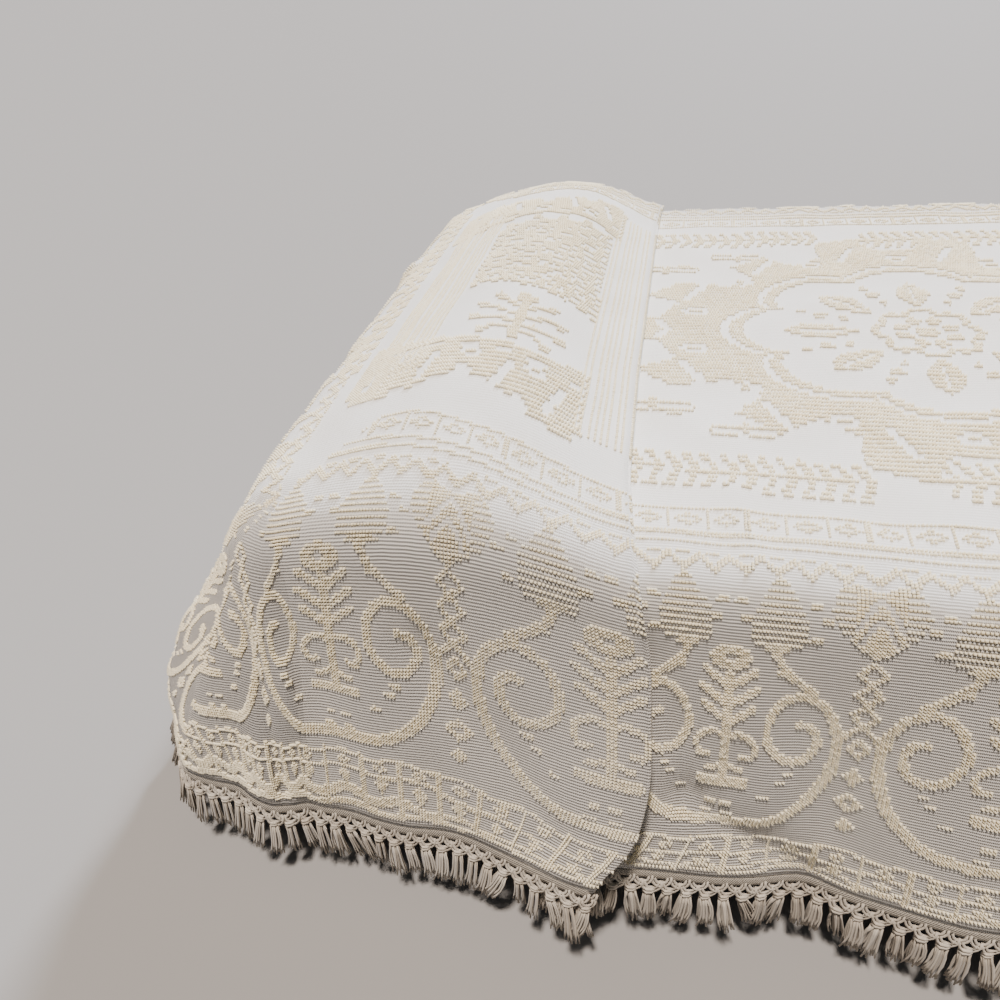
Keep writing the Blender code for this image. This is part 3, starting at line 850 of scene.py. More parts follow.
def draw_panel(chart, low_x, high_x):
    """The dense panel of small flowers between the stripe bundles."""
    middle = (low_x + high_x) / 2
    half = (high_x - low_x) / 2
    for level in np.arange(1050, 1440, 27):
        for column in np.arange(-half + 16, half - 8, 31):
            place = middle + column
            chart.stroke(((place - 11, level + 7), (place, level), (place + 11, level + 8)), 7)
        chart.level_line(level + 15 + 4 * np.cos(2 * np.pi * (chart.x - middle) / 62),
                         low_x + 6, high_x - 6)
    for side in (-1, 1):
        for level in np.arange(1046, 1440, 22):
            chart.stroke(((middle + side * (half - 2), level), (middle + side * (half - 22),
                                                                level + 7)), 8)
    for level in (1172, 1340):
        for column in (-80, 0, 80):
            chart.oval(middle + column, level, 30, 24)
            chart.oval(middle + column, level, 17, 12, erase=True)
            chart.oval(middle + column, level, 7, 5)


def draw_dashes(chart, low_x, high_x, low_y):
    """Columns of short dashes on the head side of the stripes."""
    for place in np.arange(low_x, high_x, 34):
        column = (np.abs(chart.x - place) < 11) & (chart.y > low_y)
        beat = ((chart.y + (place - low_x) / 3) % 45) < 27
        chart.mark(column & beat)


def draw_pillow_field(chart):
    """The field over the pillows, between its two bundles of stripes."""
    left = PILLOW_PHASE * MM
    right = left + REPEAT * PILLOW_STRETCH
    mirrored = Chart(chart.x, 2 * END_Y * MM - chart.y, chart.row_pitch, chart.even)
    for half in (chart, mirrored):
        draw_castle(half, left - 70, right - 34)
        draw_plant(half, (left + right) / 2 + 6)
    chart.ink |= mirrored.ink
    draw_panel(chart, left + 62, right - 54)
    draw_dashes(chart, left - 130, left - 70, 800)


def chart_cells():
    """Station, across place and size of every loop."""
    stations = np.arange(HEAD_MARGIN, CLOTH_LENGTH - FOOT_MARGIN, LOOP_PITCH)
    last_rib = int(RIB_COUNTS[-1]) - 2
    ribs = np.arange(-last_rib, last_rib + 1)
    station, rib = [grid.ravel() for grid in np.meshgrid(stations, ribs, indexing="ij")]
    across = rib_place(rib)
    even = rib % 2 == 0
    along = run_at(station)[0]
    on_pillows = station < FIRST_TURN
    hidden = (station > FIRST_TURN + 0.001) & (station < LAST_TURN + 0.012)
    to_side = END_Y - np.abs(across)
    to_head = END_X + along
    to_foot = END_X - along
    # The pattern rises over the pillows, more so towards the head, and not at the hem itself.
    lift = PATTERN_LIFT * smooth_step((PATTERN_LIFT_FROM - along) / PATTERN_LIFT_RUN)
    lift = lift * smooth_step(to_side / 0.10)
    level = np.where(on_pillows, to_side - lift, to_side)
    phase = np.where(on_pillows, (along - PILLOW_PHASE) / PILLOW_STRETCH, along - BED_PHASE)
    by_head = (to_head < to_side) & on_pillows
    by_foot = (to_foot < to_side) & ~on_pillows
    level = np.where(by_head, to_head, np.where(by_foot, to_foot, level))
    phase = np.where(by_head | by_foot, across, phase)
    open_weave = level > OPEN_FROM
    row_pitch = np.where(open_weave, 2, 1) * table_value(np.abs(across), RIB_PITCHES) * MM
    folded = np.abs((phase * MM + REPEAT / 2) % REPEAT - REPEAT / 2)
    border = Chart(folded, level * MM, row_pitch, even)
    draw_border(border)
    # The field runs up to the foot's own branch, past the mitre of the two borders.
    in_field = ~on_pillows & (to_foot > FIELD_END)
    bed_field = Chart(np.where(in_field, along * MM, 1e6), to_side * MM, row_pitch, even)
    draw_bed_field(bed_field)
    over_pillows = np.where(on_pillows & (to_side > PILLOW_FIELD_FROM), along * MM, 1e6)
    from_near = (END_Y + across - np.where(across < 0, lift, -lift)) * MM
    pillow_field = Chart(over_pillows, from_near, row_pitch, even)
    draw_pillow_field(pillow_field)
    stripes = Chart(over_pillows, from_near, row_pitch, even)
    for count, low_y in enumerate(STRIPES_FROM):
        draw_stripes(stripes, PILLOW_PHASE * MM + count * REPEAT * PILLOW_STRETCH, low_y)
    foot_row = Chart(np.where(by_foot, across * MM, 1e6), to_foot * MM, row_pitch, even)
    draw_laurel(foot_row, -560, -20)
    draw_laurel(foot_row, 30, 560)
    border.ink &= ~(by_head & (level > HEAD_BORDER_TOP))
    ink = border.ink | bed_field.ink | pillow_field.ink | foot_row.ink
    ink = ((ink & (~open_weave | even)) | stripes.ink) & ~hidden
    # On the open weave the loops are broader, and every other row is set half a loop along.
    broad = open_weave & ~stripes.ink
    station = station + np.where(broad & (rib % 4 == 0), LOOP_PITCH / 2, 0)
    size = np.where(broad[:, None], OPEN_LOOP, SIDE_LOOP)
    size[stripes.ink] = STRIPE_LOOP
    return station[ink], across[ink], size[ink]


# --- Nodes and meshes -----------------------------------------------------------------------------


def add_node(tree, kind, settings=None, links=None):
    """Add one node, set its properties, and fill its inputs with values, sockets or nodes.

    A node given for an input stands for its first output.
    """
    node = tree.nodes.new(kind)
    for name, value in (settings or {}).items():
        setattr(node, name, value)
    for key, value in (links or {}).items():
        if isinstance(value, bpy.types.Node):
            value = value.outputs[0]
        if isinstance(value, bpy.types.NodeSocket):
            tree.links.new(value, node.inputs[key])
        else:
            node.inputs[key].default_value = value
    return node


def add_inputs(tree, rows):
    """Give a geometry tree its named inputs and its geometry output."""
    for name, kind, default in rows:
        socket = tree.interface.new_socket(name, in_out="INPUT", socket_type=kind)
        if default is not None:
            socket.default_value = default
    tree.interface.new_socket("Geometry", in_out="OUTPUT", socket_type="NodeSocketGeometry")


def scatter_tree(name, material):
    """A tree that sets one shape on every point, turned and sized by the point's attributes."""
    tree = bpy.data.node_groups.new(name, "GeometryNodeTree")
    add_inputs(tree, (
        ("Places", "NodeSocketGeometry", None),
        ("Shape", "NodeSocketObject", None),
        ("Length", "NodeSocketFloat", 0.006),
        ("Width", "NodeSocketFloat", 0.005),
        ("Height", "NodeSocketFloat", 0.003),
        ("Twist", "NodeSocketFloat", 0.2),
        ("Unevenness", "NodeSocketFloat", 0.1),
        ("Seed", "NodeSocketInt", 1),
    ))
    given = add_node(tree, "NodeGroupInput").outputs
    turn = add_node(tree, "GeometryNodeInputNamedAttribute", {"data_type": "FLOAT_VECTOR"},
                    {"Name": "turn"})
    size = add_node(tree, "GeometryNodeInputNamedAttribute", {"data_type": "FLOAT_VECTOR"},
                    {"Name": "size"})
    less = add_node(tree, "ShaderNodeMath", {"operation": "MULTIPLY"}, {0: given["Twist"], 1: -1.0})
    twist = add_node(tree, "FunctionNodeRandomValue", {"data_type": "FLOAT"},
                     {2: less.outputs[0], 3: given["Twist"], "Seed": given["Seed"]})
    twist_turn = add_node(tree, "ShaderNodeCombineXYZ", None, {"Z": twist.outputs[1]})
    upright = add_node(tree, "FunctionNodeEulerToRotation", None, {"Euler": turn.outputs[0]})
    twisted = add_node(tree, "FunctionNodeEulerToRotation", None, {"Euler": twist_turn.outputs[0]})
    turned = add_node(tree, "FunctionNodeRotateRotation", {"rotation_space": "LOCAL"},
                      {0: upright.outputs[0], 1: twisted.outputs[0]})
    smallest = add_node(tree, "ShaderNodeMath", {"operation": "SUBTRACT"},
                        {0: 1.0, 1: given["Unevenness"]})
    largest = add_node(tree, "ShaderNodeMath", {"operation": "ADD"},
                       {0: 1.0, 1: given["Unevenness"]})
    uneven = add_node(tree, "FunctionNodeRandomValue", {"data_type": "FLOAT"},
                      {2: smallest.outputs[0], 3: largest.outputs[0], "Seed": given["Seed"]})
    sides = add_node(tree, "ShaderNodeCombineXYZ", None,
                     {"X": given["Length"], "Y": given["Width"], "Z": given["Height"]})
    own = add_node(tree, "ShaderNodeVectorMath", {"operation": "MULTIPLY"},
                   {0: sides.outputs[0], 1: size.outputs[0]})
    scale = add_node(tree, "ShaderNodeVectorMath", {"operation": "SCALE"},
                     {0: own.outputs[0], "Scale": uneven.outputs[1]})
    shape = add_node(tree, "GeometryNodeObjectInfo", None, {"Object": given["Shape"]})
    placed = add_node(tree, "GeometryNodeInstanceOnPoints", None,
                      {"Points": given["Places"], "Instance": shape.outputs["Geometry"],
                       "Rotation": turned.outputs[0], "Scale": scale.outputs[0]})
    shade = add_node(tree, "FunctionNodeRandomValue", {"data_type": "FLOAT"},
                     {2: 0.0, 3: 1.0, "Seed": 7})
    shaded = add_node(tree, "GeometryNodeStoreNamedAttribute",
                      {"data_type": "FLOAT", "domain": "INSTANCE"},
                      {"Geometry": placed.outputs[0], "Name": "shade", "Value": shade.outputs[1]})
    real = add_node(tree, "GeometryNodeRealizeInstances", None, {"Geometry": shaded.outputs[0]})
    coated = add_node(tree, "GeometryNodeSetMaterial", None,
                      {"Geometry": real.outputs[0], "Material": material})
    add_node(tree, "NodeGroupOutput", None, {0: coated.outputs[0]})
    return tree


def set_inputs(modifier, values):
    """Fill a Geometry Nodes modifier's inputs by the names they have in its tree."""
    for item in modifier.node_group.interface.items_tree:
        if item.item_type == "SOCKET" and item.in_out == "INPUT" and item.name in values:
            modifier[item.identifier] = values[item.name]


def link_object(name, mesh):
    """Link a mesh as an object at the origin."""
    obj = bpy.data.objects.new(name, mesh)
    bpy.context.scene.collection.objects.link(obj)
    return obj


def euler_turns(across_dir, up_dir, face_dir):
    """Euler turns whose X, Y and Z axes are the three given directions, row by row."""
    return np.stack((
        np.arctan2(up_dir[:, 2], face_dir[:, 2]),
        -np.arcsin(np.clip(across_dir[:, 2], -1, 1)),
        np.arctan2(across_dir[:, 1], across_dir[:, 0]),
    ), axis=-1)


def places_object(name, points, turns, sizes):
    """Loose points that carry a turn and a size each."""
    mesh = bpy.data.meshes.new(name)
    mesh.vertices.add(len(points))
    mesh.vertices.foreach_set("co", np.ascontiguousarray(points, dtype=np.float32).ravel())
    mesh.attributes.new("turn", "FLOAT_VECTOR", "POINT").data.foreach_set(
        "vector", np.ascontiguousarray(turns, dtype=np.float32).ravel())
    mesh.attributes.new("size", "FLOAT_VECTOR", "POINT").data.foreach_set(
        "vector", np.ascontiguousarray(sizes, dtype=np.float32).ravel())
    return link_object(name, mesh)


def settle_nodes(obj):
    """Turn an object's Geometry Nodes result into its own plain mesh."""
    evaluated = obj.evaluated_get(bpy.context.evaluated_depsgraph_get())
    mesh = bpy.data.meshes.new_from_object(evaluated)
    if not len(mesh.polygons):
        raise RuntimeError(f"{obj.name} came out empty")
    obj.modifiers.clear()
    old = obj.data
    obj.data = mesh
    bpy.data.meshes.remove(old)
    mesh.name = obj.name
    for name in ("turn", "size"):
        if name in mesh.attributes:
            mesh.attributes.remove(mesh.attributes[name])
    return obj


def scatter(name, material, shape, points, turns, sizes, values):
    """Set one shape on every place and return the joined mesh as an object."""
    obj = places_object(name, points, turns, sizes)
    modifier = obj.modifiers.new("Scatter", "NODES")
    modifier.node_group = scatter_tree(f"Set {name}", material)
    set_inputs(modifier, {"Shape": shape, **values})
    return settle_nodes(obj)


# --- Materials ------------------------------------------------------------------------------------


MATH, MIX = "ShaderNodeMath", "ShaderNodeMix"
NOISE, RANGE = "ShaderNodeTexNoise", "ShaderNodeMapRange"
PLUS, MINUS = {"operation": "ADD"}, {"operation": "SUBTRACT"}
TIMES, TIMES_PLUS = {"operation": "MULTIPLY"}, {"operation": "MULTIPLY_ADD"}
SINE, COSINE = {"operation": "SINE"}, {"operation": "COSINE"}
COLOURS, FLAT, CLAMPED = {"data_type": "RGBA"}, {"noise_dimensions": "2D"}, {"clamp": True}
TURN = 2 * math.pi

# Cotton has little shine. A fine sheen stands for its loose fibres.
COTTON_SHINE = 0.25
SHEEN_ROUGHNESS = 0.5
# Sizes of the noises, in bumps to a metre: wandering ribs, threads, worn blotches, yarn patches.
DRIFT_GRAIN = 60.0
THREAD_GRAIN = 900.0
BLOTCH_GRAIN = 7.0
PATCH_GRAIN = 4.0
TAPE_GRAIN = 420.0
COVER_GRAIN = 12.0
THREAD_SHARE = 0.7
# Shares of a yarn's second tint that come from its own loop and from the patch it lies in.
OWN_TINT = 0.45
PATCH_TINT = 0.5
# Heights on a loop, from its foot, between which its painted shade fades out; on the fringe the same
# range sets which strands are darker.
HOLLOW_FADE = (0.06, 0.32)
YARN_RELIEF = 0.0006
TAPE_RELIEF = 0.0012
COVER_RELIEF = 0.0005
COVER_WORN = 0.88


def new_material(name, roughness, sheen=0.0):
    """A Principled material with its constants set on the shader's own sockets."""
    material = bpy.data.materials.new(name)
    material.use_nodes = True
    shader = material.node_tree.nodes["Principled BSDF"]
    shader.inputs["Roughness"].default_value = roughness
    shader.inputs["Sheen Weight"].default_value = sheen
    shader.inputs["Sheen Roughness"].default_value = SHEEN_ROUGHNESS
    shader.inputs["Specular IOR Level"].default_value = COTTON_SHINE
    return material, material.node_tree, shader


def finish_shader(tree, shader, colour, height, distance, strength=1.0):
    """Give a shader its colour and the fine relief of its threads."""
    bump = add_node(tree, "ShaderNodeBump", None,
                    {"Strength": strength, "Distance": distance, "Height": height})
    tree.links.new(colour, shader.inputs["Base Color"])
    tree.links.new(bump.outputs[0], shader.inputs["Normal"])


def ground_material(colours):
    """Undyed cotton in fine ribs: matt, each rib catching light above a groove darkened by painted
    shade, and the hanging sides darkened by painted shade too.
    """
    material, tree, shader = new_material("undyed ribbed cotton ground", 0.92, 0.15)
    flat = add_node(tree, "ShaderNodeUVMap", {"uv_map": "flat"})
    weave = add_node(tree, "ShaderNodeUVMap", {"uv_map": "weave"})
    place = add_node(tree, "ShaderNodeSeparateXYZ", None, {0: flat}).outputs
    count = add_node(tree, "ShaderNodeSeparateXYZ", None, {0: weave}).outputs
    drift = add_node(tree, NOISE, FLAT, {"Vector": flat, "Scale": DRIFT_GRAIN, "Detail": 2.0})
    ribs = add_node(tree, MATH, TIMES_PLUS, {0: drift, 1: RIB_DRIFT, 2: count[1]})
    rib = add_node(tree, MATH, COSINE, {0: add_node(tree, MATH, TIMES, {0: ribs, 1: TURN})})
    # Each rib is a row of slanted stitches, two for each loop place.
    slant = add_node(tree, MATH, TIMES_PLUS, {0: count[1], 1: STITCH_SLANT, 2: count[0]})
    stitch = add_node(tree, MATH, SINE,
                      {0: add_node(tree, MATH, TIMES, {0: slant, 1: 2 * TURN})})
    # Ribs stand proud on the hanging sides and lie flatter on the stretched top.
    shifted = add_node(tree, MATH, MINUS, {0: place[1], 1: CLOTH_WIDTH / 2})
    from_middle = add_node(tree, MATH, {"operation": "ABSOLUTE"}, {0: shifted})
    side = add_node(tree, RANGE, CLAMPED,
                    {"Value": from_middle, "From Min": INNER_Y - 0.02, "From Max": INNER_Y + 0.16,
                     "To Min": TOP_RELIEF, "To Max": 1.0})
    threads = add_node(tree, NOISE, FLAT, {"Vector": flat, "Scale": THREAD_GRAIN, "Detail": 1.0})
    relief = add_node(tree, MATH, TIMES_PLUS, {0: stitch, 1: STITCH_SHARE, 2: rib})
    raised = add_node(tree, MATH, TIMES, {0: relief, 1: side})
    height = add_node(tree, MATH, TIMES_PLUS, {0: threads, 1: THREAD_SHARE, 2: raised})
    blotch = add_node(tree, NOISE, FLAT, {"Vector": flat, "Scale": BLOTCH_GRAIN, "Detail": 3.0})
    cloth = add_node(tree, MIX, COLOURS, {"Factor": blotch, 6: tuple(colours.ground),
                                          7: tuple(colours.ground_worn)}).outputs[2]
    # Painted shade: the hanging sides are mixed towards a duller tint, as they take less light than
    # the top.
    dull = add_node(tree, MATH, TIMES, {0: side, 1: SIDE_SHADE_SHARE})
    cloth = add_node(tree, MIX, COLOURS, {"Factor": dull, 6: cloth,
                                          7: tuple(colours.ground_side_shade)}).outputs[2]
    # Painted shade: the grooves between ribs are darkened in step with their depth.
    dark = add_node(tree, RANGE, CLAMPED, {"Value": raised, "From Min": 0.0, "From Max": -1.2,
                                           "To Min": 0.0, "To Max": GROOVE_SHADE_SHARE})
    cloth = add_node(tree, MIX, COLOURS, {"Factor": dark, 6: cloth,
                                          7: tuple(colours.ground_groove_shade)}).outputs[2]
    finish_shader(tree, shader, cloth, height, RIB_RELIEF)
    return material


def yarn_material(name, light, tint, loop_shade_and_strand_tone, darkening, grain):
    """Soft unmercerised yarn: matt and faintly furry, its own tint a loop, with painted shade at the
    foot of each loop; some fringe strands are darker at random.
    """
    material, tree, shader = new_material(name, 0.95, 0.2)
    shade = add_node(tree, "ShaderNodeAttribute", {"attribute_name": "shade"}).outputs["Fac"]
    tip = add_node(tree, "ShaderNodeAttribute", {"attribute_name": "tip"}).outputs["Fac"]
    place = add_node(tree, "ShaderNodeTexCoord").outputs["Object"]
    fibres = add_node(tree, NOISE, None, {"Vector": place, "Scale": grain, "Detail": 2.0})
    patches = add_node(tree, NOISE, None, {"Vector": place, "Scale": PATCH_GRAIN, "Detail": 2.0})
    own = add_node(tree, MATH, TIMES, {0: shade, 1: OWN_TINT})
    share = add_node(tree, MATH, TIMES_PLUS, {0: patches, 1: PATCH_TINT, 2: own})
    colour = add_node(tree, MIX, COLOURS, {"Factor": share, 6: tuple(light),
                                           7: tuple(tint)}).outputs[2]
    # Painted shade: each loop's foot is mixed towards the shade colour, fading out up the loop;
    # fringe strands carry one random value each, which makes some of them darker.
    between = add_node(tree, RANGE, CLAMPED,
                       {"Value": tip, "From Min": HOLLOW_FADE[0], "From Max": HOLLOW_FADE[1],
                        "To Min": darkening, "To Max": 0.0})
    colour = add_node(tree, MIX, COLOURS, {"Factor": between, 6: colour,
                                           7: tuple(loop_shade_and_strand_tone)}).outputs[2]
    finish_shader(tree, shader, colour, fibres.outputs[0], YARN_RELIEF, 0.6)
    return material


def tape_material(colours):
    """Twilled cotton tape: dull, with fine slanted cords drawn wide enough to show, and painted
    shade between them.
    """
    material, tree, shader = new_material("twilled cotton heading", 0.92, 0.15)
    flat = add_node(tree, "ShaderNodeUVMap", {"uv_map": "flat"})
    place = add_node(tree, "ShaderNodeSeparateXYZ", None, {0: flat}).outputs
    slant = add_node(tree, MATH, TIMES_PLUS, {0: place[1], 1: 0.8, 2: place[0]})
    cords = add_node(tree, MATH, SINE,
                     {0: add_node(tree, MATH, TIMES, {0: slant, 1: TURN / TAPE_CORD})})
    fibres = add_node(tree, NOISE, FLAT, {"Vector": flat, "Scale": TAPE_GRAIN, "Detail": 2.0})
    height = add_node(tree, MATH, TIMES_PLUS, {0: fibres, 1: 2.0, 2: cords})
    # Painted shade: the colour darkens where the relief is low, between the cords.
    share = add_node(tree, RANGE, CLAMPED, {"Value": height, "From Min": -1.0, "From Max": 3.0,
                                            "To Min": 1.0, "To Max": 0.0})
    colour = add_node(tree, MIX, COLOURS, {"Factor": share, 6: tuple(colours.tape),
                                           7: tuple(colours.tape_groove_shade)}).outputs[2]
    finish_shader(tree, shader, colour, height.outputs[0], TAPE_RELIEF)
    return material


def cover_material(name, colour, pitch, roughness):
    """A plain woven cover: even and matt, its threads as coarse as they need to be to show."""
    material, tree, shader = new_material(name, roughness, 0.1)
    place = add_node(tree, "ShaderNodeTexCoord").outputs["Object"]
    axes = add_node(tree, "ShaderNodeSeparateXYZ", None, {0: place}).outputs
    threads = []
    for axis in (0, 1):
        run = add_node(tree, MATH, PLUS, {0: axes[axis], 1: axes[2]})
        turns = add_node(tree, MATH, TIMES, {0: run, 1: TURN / pitch})
        threads.append(add_node(tree, MATH, SINE, {0: turns}))
    crossed = add_node(tree, MATH, TIMES, {0: threads[0], 1: threads[1]})
    soft = add_node(tree, NOISE, None, {"Vector": place, "Scale": COVER_GRAIN, "Detail": 3.0})
    worn = tuple(COVER_WORN * part for part in colour[:3]) + (1.0,)
    mottled = add_node(tree, MIX, COLOURS, {"Factor": soft, 6: tuple(colour), 7: worn}).outputs[2]
    finish_shader(tree, shader, mottled, crossed.outputs[0], COVER_RELIEF, 0.5)
    return material


# --- Shapes ---------------------------------------------------------------------------------------


def add_uv(mesh, name, places):
    """Give a mesh a UV map from one place for each vertex."""
    corners = np.empty(len(mesh.loops), dtype=np.int32)
    mesh.loops.foreach_get("vertex_index", corners)
    mesh.uv_layers.new(name=name).data.foreach_set(
        "uv", places[corners].astype(np.float32).ravel())


def build_ground(material):
    """The woven ground: one closed sheet whose face and back follow the drape."""
    places = np.linspace(-END_Y, END_Y, round(CLOTH_WIDTH / GROUND_STEP_ACROSS) + 1)
    grid = np.meshgrid(STATIONS, places, indexing="ij")
    middle, _, _, outward = cloth_frame(grid[0], grid[1])
    count = len(STATIONS) * len(places)
    face = middle + outward * GROUND_THICKNESS / 2
    back = middle - outward * GROUND_THICKNESS / 2
    points = np.concatenate((face.reshape(-1, 3), back.reshape(-1, 3)))
    index = np.arange(count).reshape(len(STATIONS), len(places))
    lower = index + count
    sheet = np.stack((index[:-1, :-1], index[1:, :-1], index[1:, 1:], index[:-1, 1:]), -1)
    under = np.stack((lower[:-1, :-1], lower[:-1, 1:], lower[1:, 1:], lower[1:, :-1]), -1)
    rim = np.concatenate((index[:-1, 0], index[-1, :-1], index[:0:-1, -1], index[0, :0:-1]))
    follow = np.roll(rim, -1)
    edge = np.stack((rim, rim + count, follow + count, follow), -1)
    faces = np.concatenate((sheet.reshape(-1, 4), under.reshape(-1, 4), edge))
    mesh = bpy.data.meshes.new("bedspread_ground")
    mesh.from_pydata(points.tolist(), [], faces.tolist())
    flat = np.stack((grid[0], grid[1] + END_Y), -1).reshape(-1, 2)
    weave = np.stack((grid[0] / LOOP_PITCH, rib_number(grid[1])), -1).reshape(-1, 2)
    add_uv(mesh, "flat", np.concatenate((flat, flat)))
    add_uv(mesh, "weave", np.concatenate((weave, weave)))
    mesh.materials.append(material)
    mesh.shade_smooth()
    return link_object("bedspread_ground", mesh)


def loop_shape():
    """One pile loop, a unit long, wide and high: a slanted tent that smooth shading rounds."""
    points = ((-0.56, -0.40, -0.25), (0.44, -0.56, -0.25), (0.56, 0.40, -0.25),
              (-0.44, 0.56, -0.25), (0.03, 0.05, 1.0))
    faces = ((3, 2, 1, 0), (0, 1, 4), (1, 2, 4), (2, 3, 4), (3, 0, 4))
    mesh = bpy.data.meshes.new("loop_shape")
    mesh.from_pydata(points, [], faces)
    mesh.shade_smooth()
    # The foot is 0 and the apex 1: the material paints shade on the foot, in the gaps between loops.
    tips = mesh.attributes.new("tip", "FLOAT", "POINT")
    tips.data.foreach_set("value", [0.0, 0.0, 0.0, 0.0, 1.0])
    return bpy.data.objects.new("loop_shape", mesh)


def build_loops(material, sizes):
    """The figured pile: a loop on every marked cell of the chart, in pieces along the bed."""
    station, across, size = chart_cells()
    point, forward, aside, outward = cloth_frame(station, across)
    point = point + outward * GROUND_THICKNESS / 2
    turns = euler_turns(forward, aside, outward)
    shape = loop_shape()
    values = {"Length": sizes.loop_length, "Width": sizes.loop_width,
              "Height": sizes.loop_height, "Twist": LOOP_TWIST,
              "Unevenness": LOOP_UNEVENNESS}
    count = math.ceil(len(station) / LOOPS_A_PIECE)
    edges = np.quantile(station, np.linspace(0, 1, count + 1))
    edges[-1] += 1
    pieces = []
    for index in range(count):
        own = (station >= edges[index]) & (station < edges[index + 1])
        pieces.append(scatter(f"pile_loops_{index + 1}", material, shape, point[own], turns[own],
                              size[own], {**values, "Seed": LOOP_SEED + index}))
    bpy.data.objects.remove(shape)
    return pieces


def hem_path():
    """Close places all round the hem: cloth distance from the head hem, and place across."""
    along = np.linspace(0, CLOTH_LENGTH, HEM_ALONG)
    aside = np.linspace(-END_Y, END_Y, HEM_ACROSS)
    station = np.concatenate((along, np.full(HEM_ACROSS, CLOTH_LENGTH), along[::-1],
                              np.zeros(HEM_ACROSS)))
    across = np.concatenate((np.full(HEM_ALONG, -END_Y), aside, np.full(HEM_ALONG, END_Y),
                             aside[::-1]))
    return station, across


def below_hem(station, across, depth):
    """Points of the cloth's surface carried on past the hem by a depth."""
    scale = (SIDE_REACH + depth) / SIDE_REACH
    along, lift, _, mound, kick, wander = run_at(station)
    over_x = np.maximum(np.abs(along) - INNER_X, 0.0) * scale
    over_y = np.maximum(np.abs(across) - INNER_Y, 0.0) * scale
    far_along = np.where(np.abs(along) > INNER_X, np.sign(along) * (INNER_X + over_x), along)
    far_across = np.where(np.abs(across) > INNER_Y, np.sign(across) * (INNER_Y + over_y), across)
    height = lift + crease_height(along, across)
    return raised_drape(far_along, far_across, mound, kick, wander, height)


def run_lengths(line):
    """Distance along a line of points to each of them."""
    return np.concatenate(([0.0], np.cumsum(np.linalg.norm(np.diff(line, axis=0), axis=1))))


def read_along(marks, lengths, values):
    """Three-part values at marks along a line."""
    return np.stack([np.interp(marks, lengths, values[:, axis]) for axis in range(3)], -1)


def fringe_frames(depth, pitch, shift):
    """Places, turns and directions round the hem at one depth, evenly spaced."""
    station, across = hem_path()
    line = below_hem(station, across, depth)
    lengths = run_lengths(line)
    around = lengths[-1]
    count = round(around / pitch)
    marks = (np.arange(count) + shift) / count * around
    place = read_along(marks, lengths, line)
    drop = read_along(marks, lengths, below_hem(station, across, depth + HEM_PROBE) - line)
    tangent = unit(read_along((marks + 0.004) % around, lengths, line) - place)
    up = -unit(drop)
    up = unit(up - tangent * (up * tangent).sum(-1, keepdims=True))
    return place, tangent, up, np.cross(tangent, up)


def tube_rings(path, radius, sides):
    """Rings of points round a path, and the faces that join them, closed at both ends."""
    path = np.array(path, dtype=float)
    radii = np.broadcast_to(radius, (len(path),))
    tangents = unit(np.gradient(path, axis=0))
    # Any direction that no cord runs along will do to start the ring from.
    side = unit(np.cross(tangents, (0.31, 0.52, 0.79)))
    other = np.cross(tangents, side)
    angles = np.arange(sides) / sides * 2 * np.pi
    ring = (np.cos(angles)[None, :, None] * side[:, None] + np.sin(angles)[None, :, None]
            * other[:, None]) * radii[:, None, None]
    points = (path[:, None] + ring).reshape(-1, 3)
    faces = []
    for row in range(len(path) - 1):
        for column in range(sides):
            follow = (column + 1) % sides
            faces.append((row * sides + column, row * sides + follow,
                          (row + 1) * sides + follow, (row + 1) * sides + column))
    last = (len(path) - 1) * sides
    faces.append(tuple(range(sides))[::-1])
    faces.append(tuple(last + column for column in range(sides)))
    return points, faces


def joined_shape(name, parts, tips=None):
    """One mesh object, linked nowhere, from several lists of points and faces."""
    points, faces, lights = [], [], []
    for index, (part_points, part_faces) in enumerate(parts):
        start = len(points)
        lights.extend([1.0 if tips is None else tips[index]] * len(part_points))
        points.extend(part_points.tolist())
        faces.extend([tuple(start + corner for corner in face) for face in part_faces])
    mesh = bpy.data.meshes.new(name)
    mesh.from_pydata(points, [], faces)
    mesh.shade_smooth()
    mesh.attributes.new("tip", "FLOAT", "POINT").data.foreach_set("value", lights)
    return bpy.data.objects.new(name, mesh)


def net_shape(name, width, depth, cord):
    """One scallop of the net: two cords side by side that hang in a U."""
    parts = []
    for index in range(2):
        inset = 2.3 * cord * index
        angles = np.linspace(math.pi * 0.08, -math.pi * 1.08, 9)
        half = width / 2 - inset
        path = np.stack((half * np.cos(angles), (depth - inset) * np.sin(angles),
                         0.0010 * np.cos(3 * angles + index)), -1)
        parts.append(tube_rings(path, cord, 4))
    return joined_shape(name, parts)


def knot_shape():
    """A wrapped knot above a tassel."""
    parts = []
    for index, level in enumerate(KNOT_WRAPS):
        angles = np.linspace(0, 2 * np.pi, 7)
        path = np.stack((KNOT_HALF_WIDTH * np.cos(angles),
                         level + 0.0012 * np.sin(angles + index),
                         KNOT_HALF_THICKNESS * np.sin(angles)), -1)
        parts.append(tube_rings(path, KNOT_CORD, 4))
    return joined_shape("knot_shape", parts)


